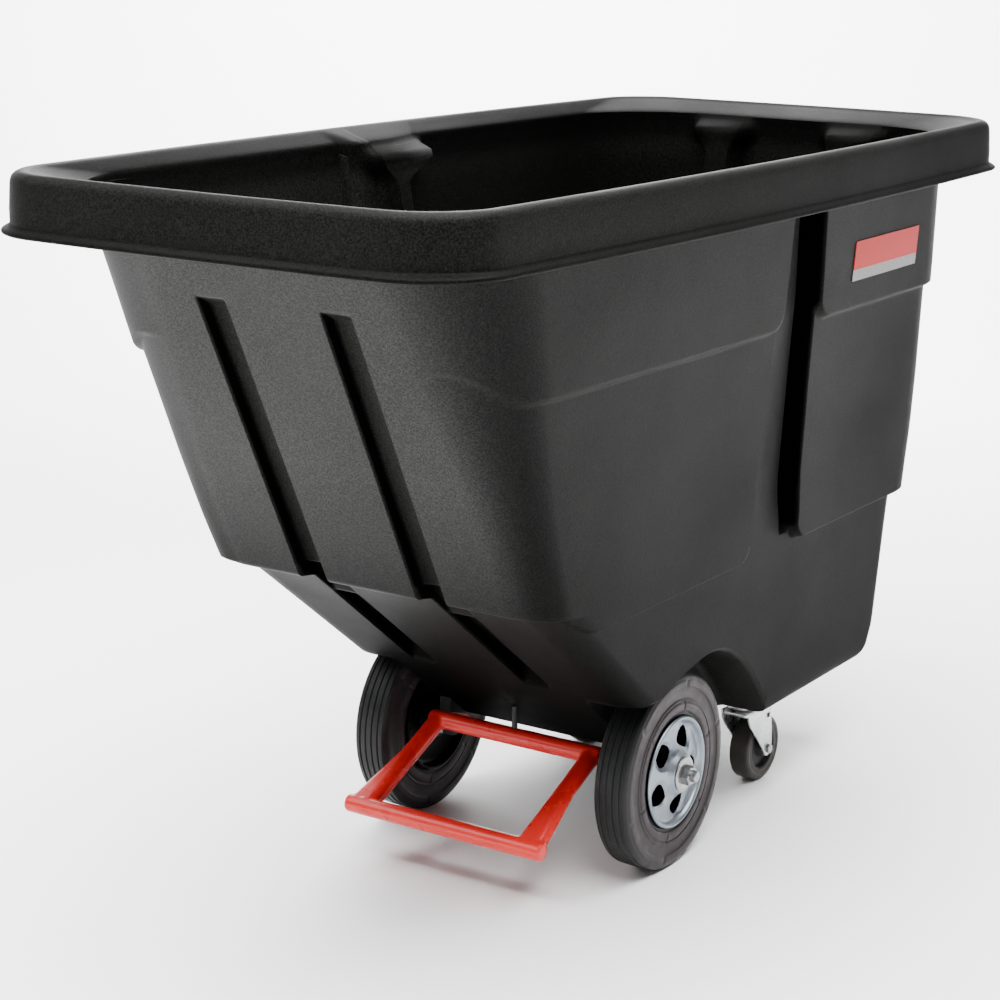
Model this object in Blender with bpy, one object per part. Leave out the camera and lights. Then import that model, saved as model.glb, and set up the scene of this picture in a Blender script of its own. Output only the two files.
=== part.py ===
"""Tilt truck: a rotomoulded hopper cart with two fixed wheels, two swivel casters and a red dump frame.

Metres, +Z up. +X is the right side, -Y the sloping dump end, +Y the upright rear end.
The origin is on the floor under the centre of the rim.
"""
import math

import bmesh
import bpy
from mathutils import Matrix, Vector

# Overall size
LENGTH = 1.537
WIDTH = 0.720
HEIGHT = 0.972

# Fits
GAP = 0.0003
WALL = 0.0065

# Rim: the crest line lies inside the outer edge of the lip
LIP_REACH = 0.0276
SKIRT_DROP = 0.0725
CREST_HALF_WIDTH = WIDTH / 2 - LIP_REACH
CREST_HALF_LENGTH = LENGTH / 2 - LIP_REACH
SIDE_BULGE = 0.020
END_BULGE = 0.010
RIM_CORNER = 0.085

# Hopper body
BOTTOM_Z = 0.147
TOP_Z = 0.940
LEDGE_Z = 0.445
LEDGE_STEP = 0.029
LEDGE_FRONT = -0.401
LOWER_SLOPE = 0.775
DUMP_SLOPE = 0.518

# Wheel wells
WELL_WALL_X = 0.150

# Channels moulded into the walls
FRONT_CHANNEL_X = 0.090
FRONT_CHANNEL_WIDTH = 0.040
REAR_CHANNEL_X = 0.105
REAR_CHANNEL_WIDTH = 0.034
SIDE_CHANNEL_Y = 0.162
SIDE_CHANNEL_LEFT_SHIFT = -0.174
SIDE_CHANNEL_WIDTH = 0.036
SIDE_CHANNEL_TOP = 0.870
SIDE_CHANNEL_LEAN = 0.122

# Blank label plate
LABEL_FRONT = 0.285
LABEL_REAR = 0.505
LABEL_LOW = 0.776
LABEL_HIGH = 0.832
LABEL_THICKNESS = 0.0016

# Main wheels
WHEEL_RADIUS = 0.1365
WHEEL_CENTRE_X = 0.1955
AXLE_Y = -0.033
AXLE_RADIUS = 0.0080
AXLE_HALF_LENGTH = 0.2545
RIM_WINDOWS = 5

# Dump frame, a loop of round tube that slopes down towards the front
FRAME_TUBE = 0.0127
FRAME_BORE = 0.0105
RAIL_X = 0.126
FRONT_BAR_HALF = 0.157
FRONT_BAR_Y = -0.268
FRONT_BAR_Z = 0.0837
REAR_BAR_Y = -0.095
REAR_BAR_Z = 0.160

# Casters
CASTER_X = 0.152
CASTER_Y = 0.295
CASTER_TRAIL = 0.043
CASTER_RADIUS = 0.0508
CASTER_YAW = {"right": math.radians(-2), "left": math.radians(-25)}
PLATE_THICKNESS = 0.0032
PLATE_TOP = BOTTOM_Z - GAP
PLATE_BOTTOM = PLATE_TOP - PLATE_THICKNESS
RACE_TOP = PLATE_BOTTOM - GAP
RACE_BOTTOM = 0.1335
CROWN_TOP = 0.1215
CROWN_BOTTOM = 0.1165
LEG_GAP = 0.0205
LEG_THICKNESS = 0.0030
KINGPIN_RADIUS = 0.0062
PLATE_HALF_X = 0.040
PLATE_HALF_Y = 0.048
PLATE_BOLT_X = 0.030
PLATE_BOLT_Y = 0.038
LEG_EYE_RADIUS = 0.0115
FORK_FRONT = -0.026
FORK_REAR = 0.050

# Axle blocks, bolted up under the hopper's floor
BLOCK_INNER = 0.1305
BLOCK_OUTER = 0.1485
BLOCK_FRONT = -0.060
BLOCK_REAR = 0.046
BLOCK_BASE = 0.1215
BLOCK_FLANGE = 0.1350
BLOCK_BOLT_Y = 0.030
SLOPE_GAP = GAP + 0.0002
BORE_CLEARANCE = 0.0006
HOLE_CLEARANCE = 0.0004

# Links from the rear bar to the axle
LUG_HALF_THICKNESS = 0.003
LUG_HALF_WIDTH = 0.011
LUG_EYE_RADIUS = 0.0130
STUD_RADIUS = 0.0042

# Bolts: half the width across the flats, head height, shank radius, shank length
BLOCK_BOLT = (0.0065, 0.0053, 0.0040, 0.0095)
PLATE_BOLT = (0.0058, 0.0042, 0.0030, 0.0028)
CASTER_AXLE_BOLT = (0.0062, 0.0045, 0.0038, 0.0555)

# Nuts: half the width across the flats, bore radius, thickness
AXLE_NUT = (0.0120, 0.0086, 0.0105)
CASTER_AXLE_NUT = (0.0062, 0.0044, 0.0055)

# Round parts on the axle: outer radius, bore radius, start and end outward from the wheel's middle
HUB_SLEEVE = (0.0132, 0.0115, -0.0330, 0.0383)
ROLLER_BEARING = (0.0111, 0.0084, -0.0330, 0.0383)
OUTER_WASHER = (0.0250, 0.0086, 0.0387, 0.0407)
INNER_WASHER = (0.0220, 0.0086, -0.0355, -0.0335)
AXLE_SPACER = (0.0120, 0.0086, BLOCK_OUTER + GAP - WHEEL_CENTRE_X, -0.0358)
NUT_SEAT = 0.0410
OUTER_WINDOW_TURN = math.radians(64)

ROUND = 24
SMALL_ROUND = 12
WHEEL_FACETS = 32
DISC_FACETS = 30
CASTER_FACETS = 24


def clear_scene():
    for thing in list(bpy.data.objects):
        bpy.data.objects.remove(thing, do_unlink=True)


def make_material(name, colour, roughness, metallic):
    material = bpy.data.materials.new(name)
    material.use_nodes = True
    shader = material.node_tree.nodes["Principled BSDF"]
    shader.inputs["Base Color"].default_value = (*colour, 1.0)
    shader.inputs["Roughness"].default_value = roughness
    shader.inputs["Metallic"].default_value = metallic
    return material


def make_materials():
    return {
        "body": make_material("black_polyethylene", (0.050, 0.051, 0.052), 0.55, 0.0),
        "label": make_material("label_red", (0.55, 0.03, 0.03), 0.40, 0.0),
        "red": make_material("red_powder_coat", (0.58, 0.045, 0.025), 0.42, 0.0),
        "zinc": make_material("zinc_plate", (0.62, 0.66, 0.68), 0.35, 1.0),
        "silver": make_material("silver_wheel_steel", (0.56, 0.60, 0.62), 0.38, 1.0),
        "rubber": make_material("black_rubber", (0.035, 0.030, 0.034), 0.70, 0.0),
        "block": make_material("black_nylon", (0.030, 0.030, 0.031), 0.60, 0.0),
        "bronze": make_material("bearing_steel", (0.45, 0.42, 0.38), 0.40, 1.0),
    }


def add_object(name, mesh, material, parent=None, location=(0, 0, 0), smooth=True):
    thing = bpy.data.objects.new(name, mesh)
    bpy.context.scene.collection.objects.link(thing)
    mesh.materials.append(material)
    if smooth:
        mesh.shade_smooth()
        mesh.set_sharp_from_angle(angle=math.radians(35))
    thing.parent = parent
    thing.location = location
    return thing


def add_empty(name, location, yaw=0.0):
    empty = bpy.data.objects.new(name, None)
    bpy.context.scene.collection.objects.link(empty)
    empty.location = location
    empty.rotation_euler = (0, 0, yaw)
    return empty


def finish_mesh(name, bm):
    bmesh.ops.recalc_face_normals(bm, faces=bm.faces)
    mesh = bpy.data.meshes.new(name)
    bm.to_mesh(mesh)
    bm.free()
    return mesh


def loft(name, rings, closed=False):
    """Skin a list of rings with equal point counts; cap the ends, or join the last ring to the first."""
    bm = bmesh.new()
    loops = [[bm.verts.new(point) for point in ring] for ring in rings]
    pairs = list(zip(loops, loops[1:]))
    if closed:
        pairs.append((loops[-1], loops[0]))
    for low, high in pairs:
        for i in range(len(low)):
            j = (i + 1) % len(low)
            bm.faces.new((low[i], low[j], high[j], high[i]))
    if not closed:
        bm.faces.new(loops[0])
        bm.faces.new(loops[-1])
    return finish_mesh(name, bm)


def turned(name, profile, segments, axis="X"):
    """Turn a closed profile of (radius, along) points about an axis."""
    bm = bmesh.new()
    verts = [bm.verts.new((along, radius, 0)) for radius, along in profile]
    edges = [bm.edges.new((verts[i], verts[(i + 1) % len(verts)])) for i in range(len(verts))]
    bmesh.ops.spin(bm, geom=verts + edges, cent=(0, 0, 0), axis=(1, 0, 0),
                   angle=math.tau, steps=segments, use_merge=True, use_duplicate=False)
    bmesh.ops.remove_doubles(bm, verts=bm.verts, dist=1e-6)
    bmesh.ops.dissolve_degenerate(bm, edges=bm.edges, dist=1e-6)
    if axis == "Z":
        bmesh.ops.rotate(bm, verts=bm.verts, cent=(0, 0, 0), matrix=Matrix.Rotation(-math.pi / 2, 3, "Y"))
    return finish_mesh(name, bm)


def tube_profile(outer, inner, start, end):
    return [(inner, start), (outer, start), (outer, end), (inner, end)]


def circle_ring(radius, z, segments):
    return [(radius * math.cos(math.tau * i / segments), radius * math.sin(math.tau * i / segments), z)
            for i in range(segments)]


def stepped_pin(name, steps, segments):
    """A solid round pin along Z from (radius, z) steps."""
    return loft(name, [circle_ring(radius, z, segments) for radius, z in steps])


def solid_rod(name, radius, start, end, segments, axis="X", chamfer=0.0):
    """A round bar along an axis, with chamfered ends."""
    rings = []
    for along, r in ((start, radius - chamfer), (start + chamfer, radius),
                     (end - chamfer, radius), (end, radius - chamfer)):
        if chamfer == 0.0 and len(rings) in (1, 2):
            rings.append(None)
            continue
        ring = []
        for i in range(segments):
            a = math.tau * (i + 0.5) / segments
            across = (r * math.cos(a), r * math.sin(a))
            ring.append((along, *across) if axis == "X" else (*across, along))
        rings.append(ring)
    return loft(name, [ring for ring in rings if ring])


def prism(name, outline, start, end, axis="X"):
    """Extrude a flat outline: (y, z) points along X, (x, z) points along Y, or (x, y) points along Z."""
    place = {
        "X": lambda p, s: (s, p[0], p[1]),
        "Y": lambda p, s: (p[0], s, p[1]),
        "Z": lambda p, s: (p[0], p[1], s),
    }[axis]
    return loft(name, [[place(p, start) for p in outline], [place(p, end) for p in outline]])


def box_outline(x0, x1, y0, y1, corner=0.0, steps=3):
    """A rectangle with round corners, anticlockwise."""
    if corner == 0.0:
        return [(x0, y0), (x1, y0), (x1, y1), (x0, y1)]
    points = []
    centres = ((x1 - corner, y0 + corner, -90), (x1 - corner, y1 - corner, 0),
               (x0 + corner, y1 - corner, 90), (x0 + corner, y0 + corner, 180))
    for cx, cy, first in centres:
        for i in range(steps + 1):
            a = math.radians(first + 90 * i / steps)
            points.append((cx + corner * math.cos(a), cy + corner * math.sin(a)))
    return points


def boolean(target, cutter, operation="DIFFERENCE"):
    """Apply a Boolean to the target's mesh and drop the cutter."""
    modifier = target.modifiers.new("cut", "BOOLEAN")
    modifier.operation = operation
    modifier.solver = "EXACT"
    modifier.object = cutter
    bpy.context.view_layer.update()
    depsgraph = bpy.context.evaluated_depsgraph_get()
    mesh = bpy.data.meshes.new_from_object(target.evaluated_get(depsgraph), depsgraph=depsgraph)
    target.modifiers.clear()
    target.data = mesh
    bpy.data.objects.remove(cutter, do_unlink=True)


def temporary(mesh):
    thing = bpy.data.objects.new("cutter", mesh)
    bpy.context.scene.collection.objects.link(thing)
    return thing


# Hopper ---------------------------------------------------------------------------------------------

def hopper_outline(z, half_width, front, rear, corner, side_bulge=0.0, end_bulge=0.0):
    """A rectangle with round corners and slightly bowed sides, seen from above."""
    corner_steps, side_steps, end_steps = 5, 8, 4
    x1 = half_width - side_bulge
    y0, y1 = front + end_bulge, rear - end_bulge
    middle, reach = (y0 + y1) / 2, (y1 - y0) / 2
    points = []

    def arc(cx, cy, first):
        for i in range(corner_steps + 1):
            a = math.radians(first + 90 * i / corner_steps)
            points.append((cx + corner * math.cos(a), cy + corner * math.sin(a)))

    def side(sign):
        for i in range(1, side_steps):
            t = 2 * i / side_steps - 1
            points.append((sign * x1, middle + sign * t * (reach - corner)))

    def end(sign):
        for i in range(1, end_steps):
            t = 2 * i / end_steps - 1
            points.append((-sign * t * (x1 - corner), y1 if sign > 0 else y0))

    arc(x1 - corner, y0 + corner, -90)
    side(1)
    arc(x1 - corner, y1 - corner, 0)
    end(1)
    arc(-x1 + corner, y1 - corner, 90)
    side(-1)
    arc(-x1 + corner, y0 + corner, 180)
    end(-1)
    ring = []
    for x, y in points:
        u = x / x1
        v = (y - middle) / reach
        bow_x = side_bulge * (1 - v * v) * u
        bow_y = end_bulge * (1 - u * u) * v
        ring.append((x + bow_x, y + bow_y, z))
    return ring


def front_y(z):
    """The dump end's outer face: a steep face above the ledge and a shallow one below it."""
    if z <= LEDGE_Z:
        return LEDGE_FRONT + (LEDGE_Z - z) / LOWER_SLOPE
    return LEDGE_FRONT - LEDGE_STEP - (z - LEDGE_Z) * DUMP_SLOPE


# z, half width, rear, corner radius, side bulge, how far a wall thickness reaches along Y at the front
BODY_LEVELS = [
    (BOTTOM_Z, 0.212, 0.560, 0.030, 0.0, 1.6),
    (0.160, 0.229, 0.584, 0.040, 0.0, 1.6),
    (0.200, 0.236, 0.606, 0.046, 0.0, 1.6),
    (0.395, 0.247, 0.614, 0.049, 0.0, 1.6),
    (0.410, 0.264, 0.645, 0.050, 0.0, 1.6),
    (LEDGE_Z, 0.266, 0.647, 0.051, 0.0, 1.4),
    (LEDGE_Z + 0.006, 0.267, 0.648, 0.051, 0.0, 1.2),
    (0.600, 0.2808, 0.6613, 0.064, 0.0033, 1.13),
    (0.720, 0.292, 0.672, 0.089, 0.006, 1.13),
    (0.880, 0.3065, 0.688, 0.120, 0.0104, 1.13),
    (TOP_Z, 0.312, 0.694, 0.118, 0.012, 1.13),
]

# Offset outward from the crest line, drop below the crest, from the wall out to the lip and over the top
RIM_LEVELS = [
    (0.006, 0.018),
    (0.014, 0.024),
    (0.017, 0.060),
    (0.020, SKIRT_DROP),
    (LIP_REACH, SKIRT_DROP),
    (LIP_REACH, SKIRT_DROP - 0.007),
    (0.0220, SKIRT_DROP - 0.013),
    (0.0175, 0.012),
    (0.0110, 0.003),
    (0.0020, 0.000),
]


def rim_ring(offset, drop):
    return hopper_outline(HEIGHT - drop, CREST_HALF_WIDTH + offset, -CREST_HALF_LENGTH - offset,
                          CREST_HALF_LENGTH + offset, RIM_CORNER + offset, SIDE_BULGE, END_BULGE)


def hopper_rings():
    rings = [hopper_outline(z, w, front_y(z), rear, corner, bulge)
             for z, w, rear, corner, bulge, reach in BODY_LEVELS]
    return rings + [rim_ring(offset, drop) for offset, drop in RIM_LEVELS]


def cavity_rings():
    floor = BOTTOM_Z + WALL
    rings = []
    for z, w, rear, corner, bulge, reach in BODY_LEVELS:
        level = max(z, floor)
        front = front_y(z) + WALL * reach
        rings.append(hopper_outline(level, w - WALL, front, rear - WALL, corner - WALL, bulge))
    rings.append(rim_ring(-0.006, 0.006))
    rings.append(rim_ring(-0.004, -0.010))
    return rings


def well_outline(wall):
    """The wheel arch seen from the side, from its front lip over the wheel to the rear wall."""
    arch = [(-0.180, 0.262), (-0.115, 0.2615), (-0.090, 0.267), (-0.065, 0.2755), (-0.025, 0.285),
            (0.020, 0.292), (0.062, 0.287), (0.102, 0.269), (0.136, 0.246), (0.183, 0.200), (0.226, BOTTOM_Z)]
    raised = [(y + wall * max(0.0, min(1.0, (y + 0.05) / 0.2)), z + wall) for y, z in arch]
    return [(-0.260, 0.100), (-0.260, 0.262 + wall)] + raised + [(0.260 + wall, 0.100)]


def front_channel_outline(wall):
    """The channel down the dump end: its floor steps inwards where it crosses the ledge."""
    floor = [(-0.600, 0.822), (-0.4195, 0.469), (-0.396, 0.464), (-0.365, 0.420),
             (-0.330, 0.410), (-0.196, 0.310), (-0.183, 0.279)]
    inward = Vector((0.85, 0.62)) * wall
    shifted = [(y + inward.x, z + inward.y) for y, z in floor]
    return [(-0.720, 0.835 + wall)] + shifted + [(-0.230, 0.220), (-0.600, 0.300)]


def rear_channel_outline(wall):
    depth = 0.030 + wall
    return [(0.760, 0.905 + wall), (0.690 - depth, 0.880 + wall), (0.652 - depth, 0.470),
            (0.640, 0.430 - wall), (0.760, 0.430 - wall)]


def side_channel_outline(wall, sign):
    depth = 0.034 + wall
    points = [(0.400, 0.905 + wall), (0.308 - depth, 0.880 + wall), (0.272 - depth, 0.480),
              (0.262, 0.436 - wall), (0.400, 0.436 - wall)]
    return [(sign * x, z) for x, z in points]


def carve(target, wall):
    """Cut the wheel wells and the moulded channels, grown by one wall thickness for the cavity.

    The side channels lean: they run further back towards their lower ends. The left one is further forward.
    """
    lean = Matrix.Identity(4)
    lean[1][2] = -SIDE_CHANNEL_LEAN
    for sign in (-1, 1):
        shift = SIDE_CHANNEL_LEFT_SHIFT if sign < 0 else 0.0
        lean[1][3] = SIDE_CHANNEL_LEAN * SIDE_CHANNEL_TOP + shift
        cuts = [
            prism("well", well_outline(wall), sign * (WELL_WALL_X - wall), sign * 0.400),
            prism("front", front_channel_outline(wall),
                  sign * (FRONT_CHANNEL_X - FRONT_CHANNEL_WIDTH / 2 - wall),
                  sign * (FRONT_CHANNEL_X + FRONT_CHANNEL_WIDTH / 2 + wall)),
            prism("rear", rear_channel_outline(wall),
                  sign * (REAR_CHANNEL_X - REAR_CHANNEL_WIDTH / 2 - wall),
                  sign * (REAR_CHANNEL_X + REAR_CHANNEL_WIDTH / 2 + wall)),
            prism("side", side_channel_outline(wall, sign),
                  SIDE_CHANNEL_Y - SIDE_CHANNEL_WIDTH / 2 - wall,
                  SIDE_CHANNEL_Y + SIDE_CHANNEL_WIDTH / 2 + wall, "Y"),
        ]
        cuts[3].transform(lean)
        for mesh in cuts:
            boolean(target, temporary(mesh))


def add_hopper(materials):
    hopper = add_object("hopper", loft("hopper", hopper_rings()), materials["body"], smooth=False)
    carve(hopper, 0.0)
    cavity = temporary(loft("cavity", cavity_rings()))
    carve(cavity, WALL)
    boolean(hopper, cavity)
    hopper.data.shade_smooth()
    hopper.data.set_sharp_from_angle(angle=math.radians(30))


def side_x(y, z):
    """How far out the right wall is, at a height between the two top levels."""
    low, high = BODY_LEVELS[-2:]
    t = (z - low[0]) / (high[0] - low[0])
    half_width, rear, _, bulge = [a + (b - a) * t for a, b in zip(low[1:5], high[1:5])]
    v = 2 * (y - front_y(z)) / (rear - front_y(z)) - 1
    return half_width - bulge + bulge * (1 - v * v)


def add_label(materials):
    """A thin blank plate that lies on the right side's upper wall, towards the rear."""
    lift = 0.0006
    rings = []
    for y in (LABEL_FRONT, LABEL_REAR):
        foot = side_x(y, LABEL_LOW) + lift
        head = side_x(y, LABEL_HIGH) + lift
        rings.append([(foot, y, LABEL_LOW), (foot + LABEL_THICKNESS, y, LABEL_LOW),
                      (head + LABEL_THICKNESS, y, LABEL_HIGH), (head, y, LABEL_HIGH)])
    add_object("label_plate", loft("label_plate", rings), materials["label"], smooth=False)


# Axle and its blocks --------------------------------------------------------------------------------

def add_axle(materials):
    axle = solid_rod("axle", AXLE_RADIUS, -AXLE_HALF_LENGTH, AXLE_HALF_LENGTH, 24, chamfer=0.0015)
    add_object("axle", axle, materials["zinc"], location=(0, AXLE_Y, WHEEL_RADIUS))
    top = [(BLOCK_REAR, BOTTOM_Z - GAP), (front_y(BOTTOM_Z) - SLOPE_GAP, BOTTOM_Z - GAP),
           (BLOCK_FRONT, LEDGE_Z - (BLOCK_FRONT - LEDGE_FRONT) * LOWER_SLOPE - SLOPE_GAP)]
    base = [(BLOCK_FRONT, 0.162), (-0.052, BLOCK_BASE), (-0.014, BLOCK_BASE), (0.012, BLOCK_FLANGE),
            (BLOCK_REAR, BLOCK_FLANGE)]
    middle = (BLOCK_INNER + BLOCK_OUTER) / 2
    for side, sign in (("left", -1), ("right", 1)):
        mesh = prism("block", base + top, sign * BLOCK_INNER, sign * BLOCK_OUTER)
        block = add_object("axle_block_" + side, mesh, materials["block"], smooth=False)
        bore = solid_rod("bore", AXLE_RADIUS + BORE_CLEARANCE, -0.03, 0.03, 24)
        cutter = temporary(bore)
        cutter.location = (sign * middle, AXLE_Y, WHEEL_RADIUS)
        boolean(block, cutter)
        bolt = hex_bolt("bolt", *BLOCK_BOLT)
        flip = Matrix.Rotation(math.pi, 4, "X")
        bolt.transform(flip)
        shank_radius = BLOCK_BOLT[2]
        well = solid_rod("bolt_hole", shank_radius + HOLE_CLEARANCE, -0.02, 0.02, SMALL_ROUND, "Z")
        hole = temporary(well)
        hole.location = (sign * middle, BLOCK_BOLT_Y, BLOCK_FLANGE)
        boolean(block, hole)
        add_object("axle_block_bolt_" + side, bolt, materials["zinc"],
                   location=(sign * middle, BLOCK_BOLT_Y, BLOCK_FLANGE - GAP), smooth=False)


def hex_bolt(name, flats, head, shank_radius, shank):
    """A hexagon head above z = 0 and a plain shank below it; flats is half the width across flats."""
    corner = flats / math.cos(math.pi / 6)

    def hexagon(z, scale=1.0):
        ring = []
        for i in range(SMALL_ROUND):
            a = math.tau * i / SMALL_ROUND
            r = corner if i % 2 == 0 else flats
            ring.append((scale * r * math.cos(a), scale * r * math.sin(a), z))
        return ring

    rings = [hexagon(head, 0.90), hexagon(head * 0.8), hexagon(0.0),
             circle_ring(shank_radius, 0.0, SMALL_ROUND), circle_ring(shank_radius, -shank, SMALL_ROUND)]
    return loft(name, rings)


# Dump frame ------------------------------------------------------------------------------------------

def placed_tube(name, start, end, outer, bore, segments=20):
    """A straight tube between two points."""
    start, end = Vector(start), Vector(end)
    mesh = turned(name, tube_profile(outer, bore, 0.0, (end - start).length), segments)
    turn = Vector((1, 0, 0)).rotation_difference((end - start).normalized()).to_matrix().to_4x4()
    mesh.transform(Matrix.Translation(start) @ turn)
    return mesh


def add_dump_frame(materials):
    red = materials["red"]
    front = Vector((0, FRONT_BAR_Y, FRONT_BAR_Z))
    rear = Vector((0, REAR_BAR_Y, REAR_BAR_Z))
    for name, centre, half in (("front", front, FRONT_BAR_HALF), ("rear", rear, RAIL_X + FRAME_TUBE)):
        reach = Vector((half, 0, 0))
        bar = placed_tube("bar", centre - reach, centre + reach, FRAME_TUBE, FRAME_BORE)
        add_object("dump_frame_%s_bar" % name, bar, red)
    for side, sign in (("left", -1), ("right", 1)):
        shift = Vector((sign * RAIL_X, 0, 0))
        along = (rear - front).normalized()
        clear = along * (FRAME_TUBE * 0.55)
        mesh = placed_tube("rail", front + shift + clear, rear + shift - clear, FRAME_TUBE, FRAME_BORE)
        rail = add_object("dump_frame_rail_" + side, mesh, red)
        for bar in (front, rear):
            # One solid bar per cut keeps the cope at the rail's end a single clean scoop
            solid = solid_rod("cope", FRAME_TUBE + GAP, -0.05, 0.05, 20)
            cutter = temporary(solid)
            cutter.location = bar + shift
            boolean(rail, cutter)
        add_frame_lug(side, sign, red)
    add_center_stud(materials)


def add_frame_lug(side, sign, red):
    """A flat link from the rear bar back to the axle, which passes through its eye."""
    eye = Vector((AXLE_Y, WHEEL_RADIUS))
    bar = Vector((REAR_BAR_Y, REAR_BAR_Z))
    along = (eye - bar).normalized()
    across = Vector((-along.y, along.x))
    outline = [bar + across * LUG_HALF_WIDTH, bar - across * LUG_HALF_WIDTH]
    base = math.atan2(along.y, along.x)
    for i in range(9):
        a = base - math.pi / 2 + math.pi * i / 8
        outline.append(eye + Vector((math.cos(a), math.sin(a))) * LUG_EYE_RADIUS)
    faces = [sign * (RAIL_X - LUG_HALF_THICKNESS), sign * (RAIL_X + LUG_HALF_THICKNESS)]
    mesh = prism("lug", [(p.x, p.y) for p in outline], *faces)
    lug = add_object("dump_frame_lug_" + side, mesh, red, smooth=False)
    hole = temporary(solid_rod("eye", AXLE_RADIUS + BORE_CLEARANCE, -0.02, 0.02, 24))
    hole.location = (sign * RAIL_X, AXLE_Y, WHEEL_RADIUS)
    boolean(lug, hole)
    cope = temporary(solid_rod("cope", FRAME_TUBE + GAP, -0.02, 0.02, 20))
    cope.location = (sign * RAIL_X, REAR_BAR_Y, REAR_BAR_Z)
    boolean(lug, cope)


def add_center_stud(materials):
    """A short stud that stands on the rear bar and holds it to the hopper's lower slope."""
    foot = REAR_BAR_Z + FRAME_TUBE + GAP
    slope = LEDGE_Z - (REAR_BAR_Y - LEDGE_FRONT) * LOWER_SLOPE
    head = slope - STUD_RADIUS * LOWER_SLOPE - GAP
    stud = solid_rod("stud", STUD_RADIUS, foot, head, SMALL_ROUND, "Z")
    add_object("dump_frame_stud", stud, materials["zinc"], location=(0, REAR_BAR_Y, 0))


# Main wheels -----------------------------------------------------------------------------------------

# Radius and distance outward from the middle of the wheel: hub face, coned web, rim flange, middle
OUTER_DISC_PROFILE = [
    (0.0137, 0.0375), (0.0262, 0.0375), (0.0330, 0.0290), (0.0500, 0.0245), (0.0690, 0.0215),
    (0.0718, 0.0270), (0.0740, 0.0290), (0.0775, 0.0285), (0.0778, 0.0254), (0.0742, 0.0244),
    (0.0742, 0.0010), (0.0718, 0.0010), (0.0700, 0.0190), (0.0500, 0.0220), (0.0318, 0.0265),
    (0.0250, 0.0350), (0.0137, 0.0350),
]
INNER_DISC_PROFILE = [
    (0.0137, 0.0285), (0.0262, 0.0285), (0.0330, 0.0160), (0.0690, 0.0160), (0.0718, 0.0270),
    (0.0740, 0.0290), (0.0775, 0.0285), (0.0778, 0.0254), (0.0742, 0.0244), (0.0742, 0.0010),
    (0.0718, 0.0010), (0.0700, 0.0135), (0.0318, 0.0135), (0.0250, 0.0260), (0.0137, 0.0260),
]

TYRE_HALF_PROFILE = [
    (0.0749, 0.0215), (0.0860, 0.0242), (0.1200, 0.0265), (0.1310, 0.0240), (WHEEL_RADIUS, 0.0150),
]


def faceted_tyre(name, half_profile, facets):
    """Turn a tyre with one facet flat on the floor: the middles of the tread's facets are at its radius."""
    grow = 1 / math.cos(math.pi / facets)
    profile = [(r * grow, -x) for r, x in half_profile] + [(r * grow, x) for r, x in reversed(half_profile)]
    mesh = turned(name, profile, facets)
    mesh.transform(Matrix.Rotation(math.pi / facets, 4, "X"))
    return mesh


def window_outline():
    """A rounded window, narrow towards the rim and wide towards the hub, in (along a radius, across it)."""
    return [(0.0370, -0.0120), (0.0430, -0.0158), (0.0595, -0.0085), (0.0640, 0.0000),
            (0.0595, 0.0085), (0.0430, 0.0158), (0.0370, 0.0120)]


def wheel_disc(name, profile, windows, material, parent, sign):
    disc = add_object(name, turned(name, [(r, sign * x) for r, x in profile], DISC_FACETS), material)
    for i in range(windows):
        turn = Matrix.Rotation(math.tau * i / windows + OUTER_WINDOW_TURN, 4, "X")
        cutter = prism("window", window_outline(), -0.045, 0.045)
        cutter.transform(turn)
        boolean(disc, temporary(cutter))
    disc.data.shade_smooth()
    disc.data.set_sharp_from_angle(angle=math.radians(35))
    disc.parent = parent
    return disc


def add_wheel(side, sign, materials):
    hub = add_empty("wheel_axis_" + side, (sign * WHEEL_CENTRE_X, AXLE_Y, WHEEL_RADIUS))
    tyre = faceted_tyre("tyre", TYRE_HALF_PROFILE, WHEEL_FACETS)
    add_object("tyre_" + side, tyre, materials["rubber"], hub)
    silver = materials["silver"]
    wheel_disc("wheel_disc_outer_" + side, OUTER_DISC_PROFILE, RIM_WINDOWS, silver, hub, sign)
    wheel_disc("wheel_disc_inner_" + side, INNER_DISC_PROFILE, 0, silver, hub, -sign)

    def along_axle(name, size, material, parent=hub):
        outer, inner, start, end = size
        profile = [(r, sign * x) for r, x in tube_profile(outer, inner, start, end)]
        return add_object(name + "_" + side, turned(name, profile, ROUND), material, parent)

    along_axle("hub_sleeve", HUB_SLEEVE, silver)
    along_axle("roller_bearing", ROLLER_BEARING, materials["bronze"])
    on_axle = (("washer_outer", OUTER_WASHER), ("washer_inner", INNER_WASHER), ("axle_spacer", AXLE_SPACER))
    for name, size in on_axle:
        fixed = along_axle(name, size, materials["zinc"], None)
        fixed.location = (sign * WHEEL_CENTRE_X, AXLE_Y, WHEEL_RADIUS)
    nut = add_object("axle_nut_" + side, hex_nut("nut", *AXLE_NUT), materials["zinc"], smooth=False)
    nut.rotation_euler = (0, sign * math.pi / 2, 0)
    nut.location = (sign * (WHEEL_CENTRE_X + NUT_SEAT), AXLE_Y, WHEEL_RADIUS)


def hex_nut(name, flats, bore, thickness):
    """A hexagon nut standing on z = 0."""
    corner = flats / math.cos(math.pi / 6)

    def ring(z, radius, hexagonal):
        points = []
        for i in range(24):
            a = math.tau * i / 24
            r = radius
            if hexagonal:
                r = radius * flats / corner / math.cos((a + math.pi / 6) % (math.pi / 3) - math.pi / 6)
            points.append((r * math.cos(a), r * math.sin(a), z))
        return points

    chamfer = 0.0015
    rings = [ring(0, corner, True), ring(thickness - chamfer, corner, True),
             ring(thickness, flats * 0.96, False), ring(thickness, bore, False), ring(0, bore, False)]
    return loft(name, rings, closed=True)


# Casters ---------------------------------------------------------------------------------------------

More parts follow.
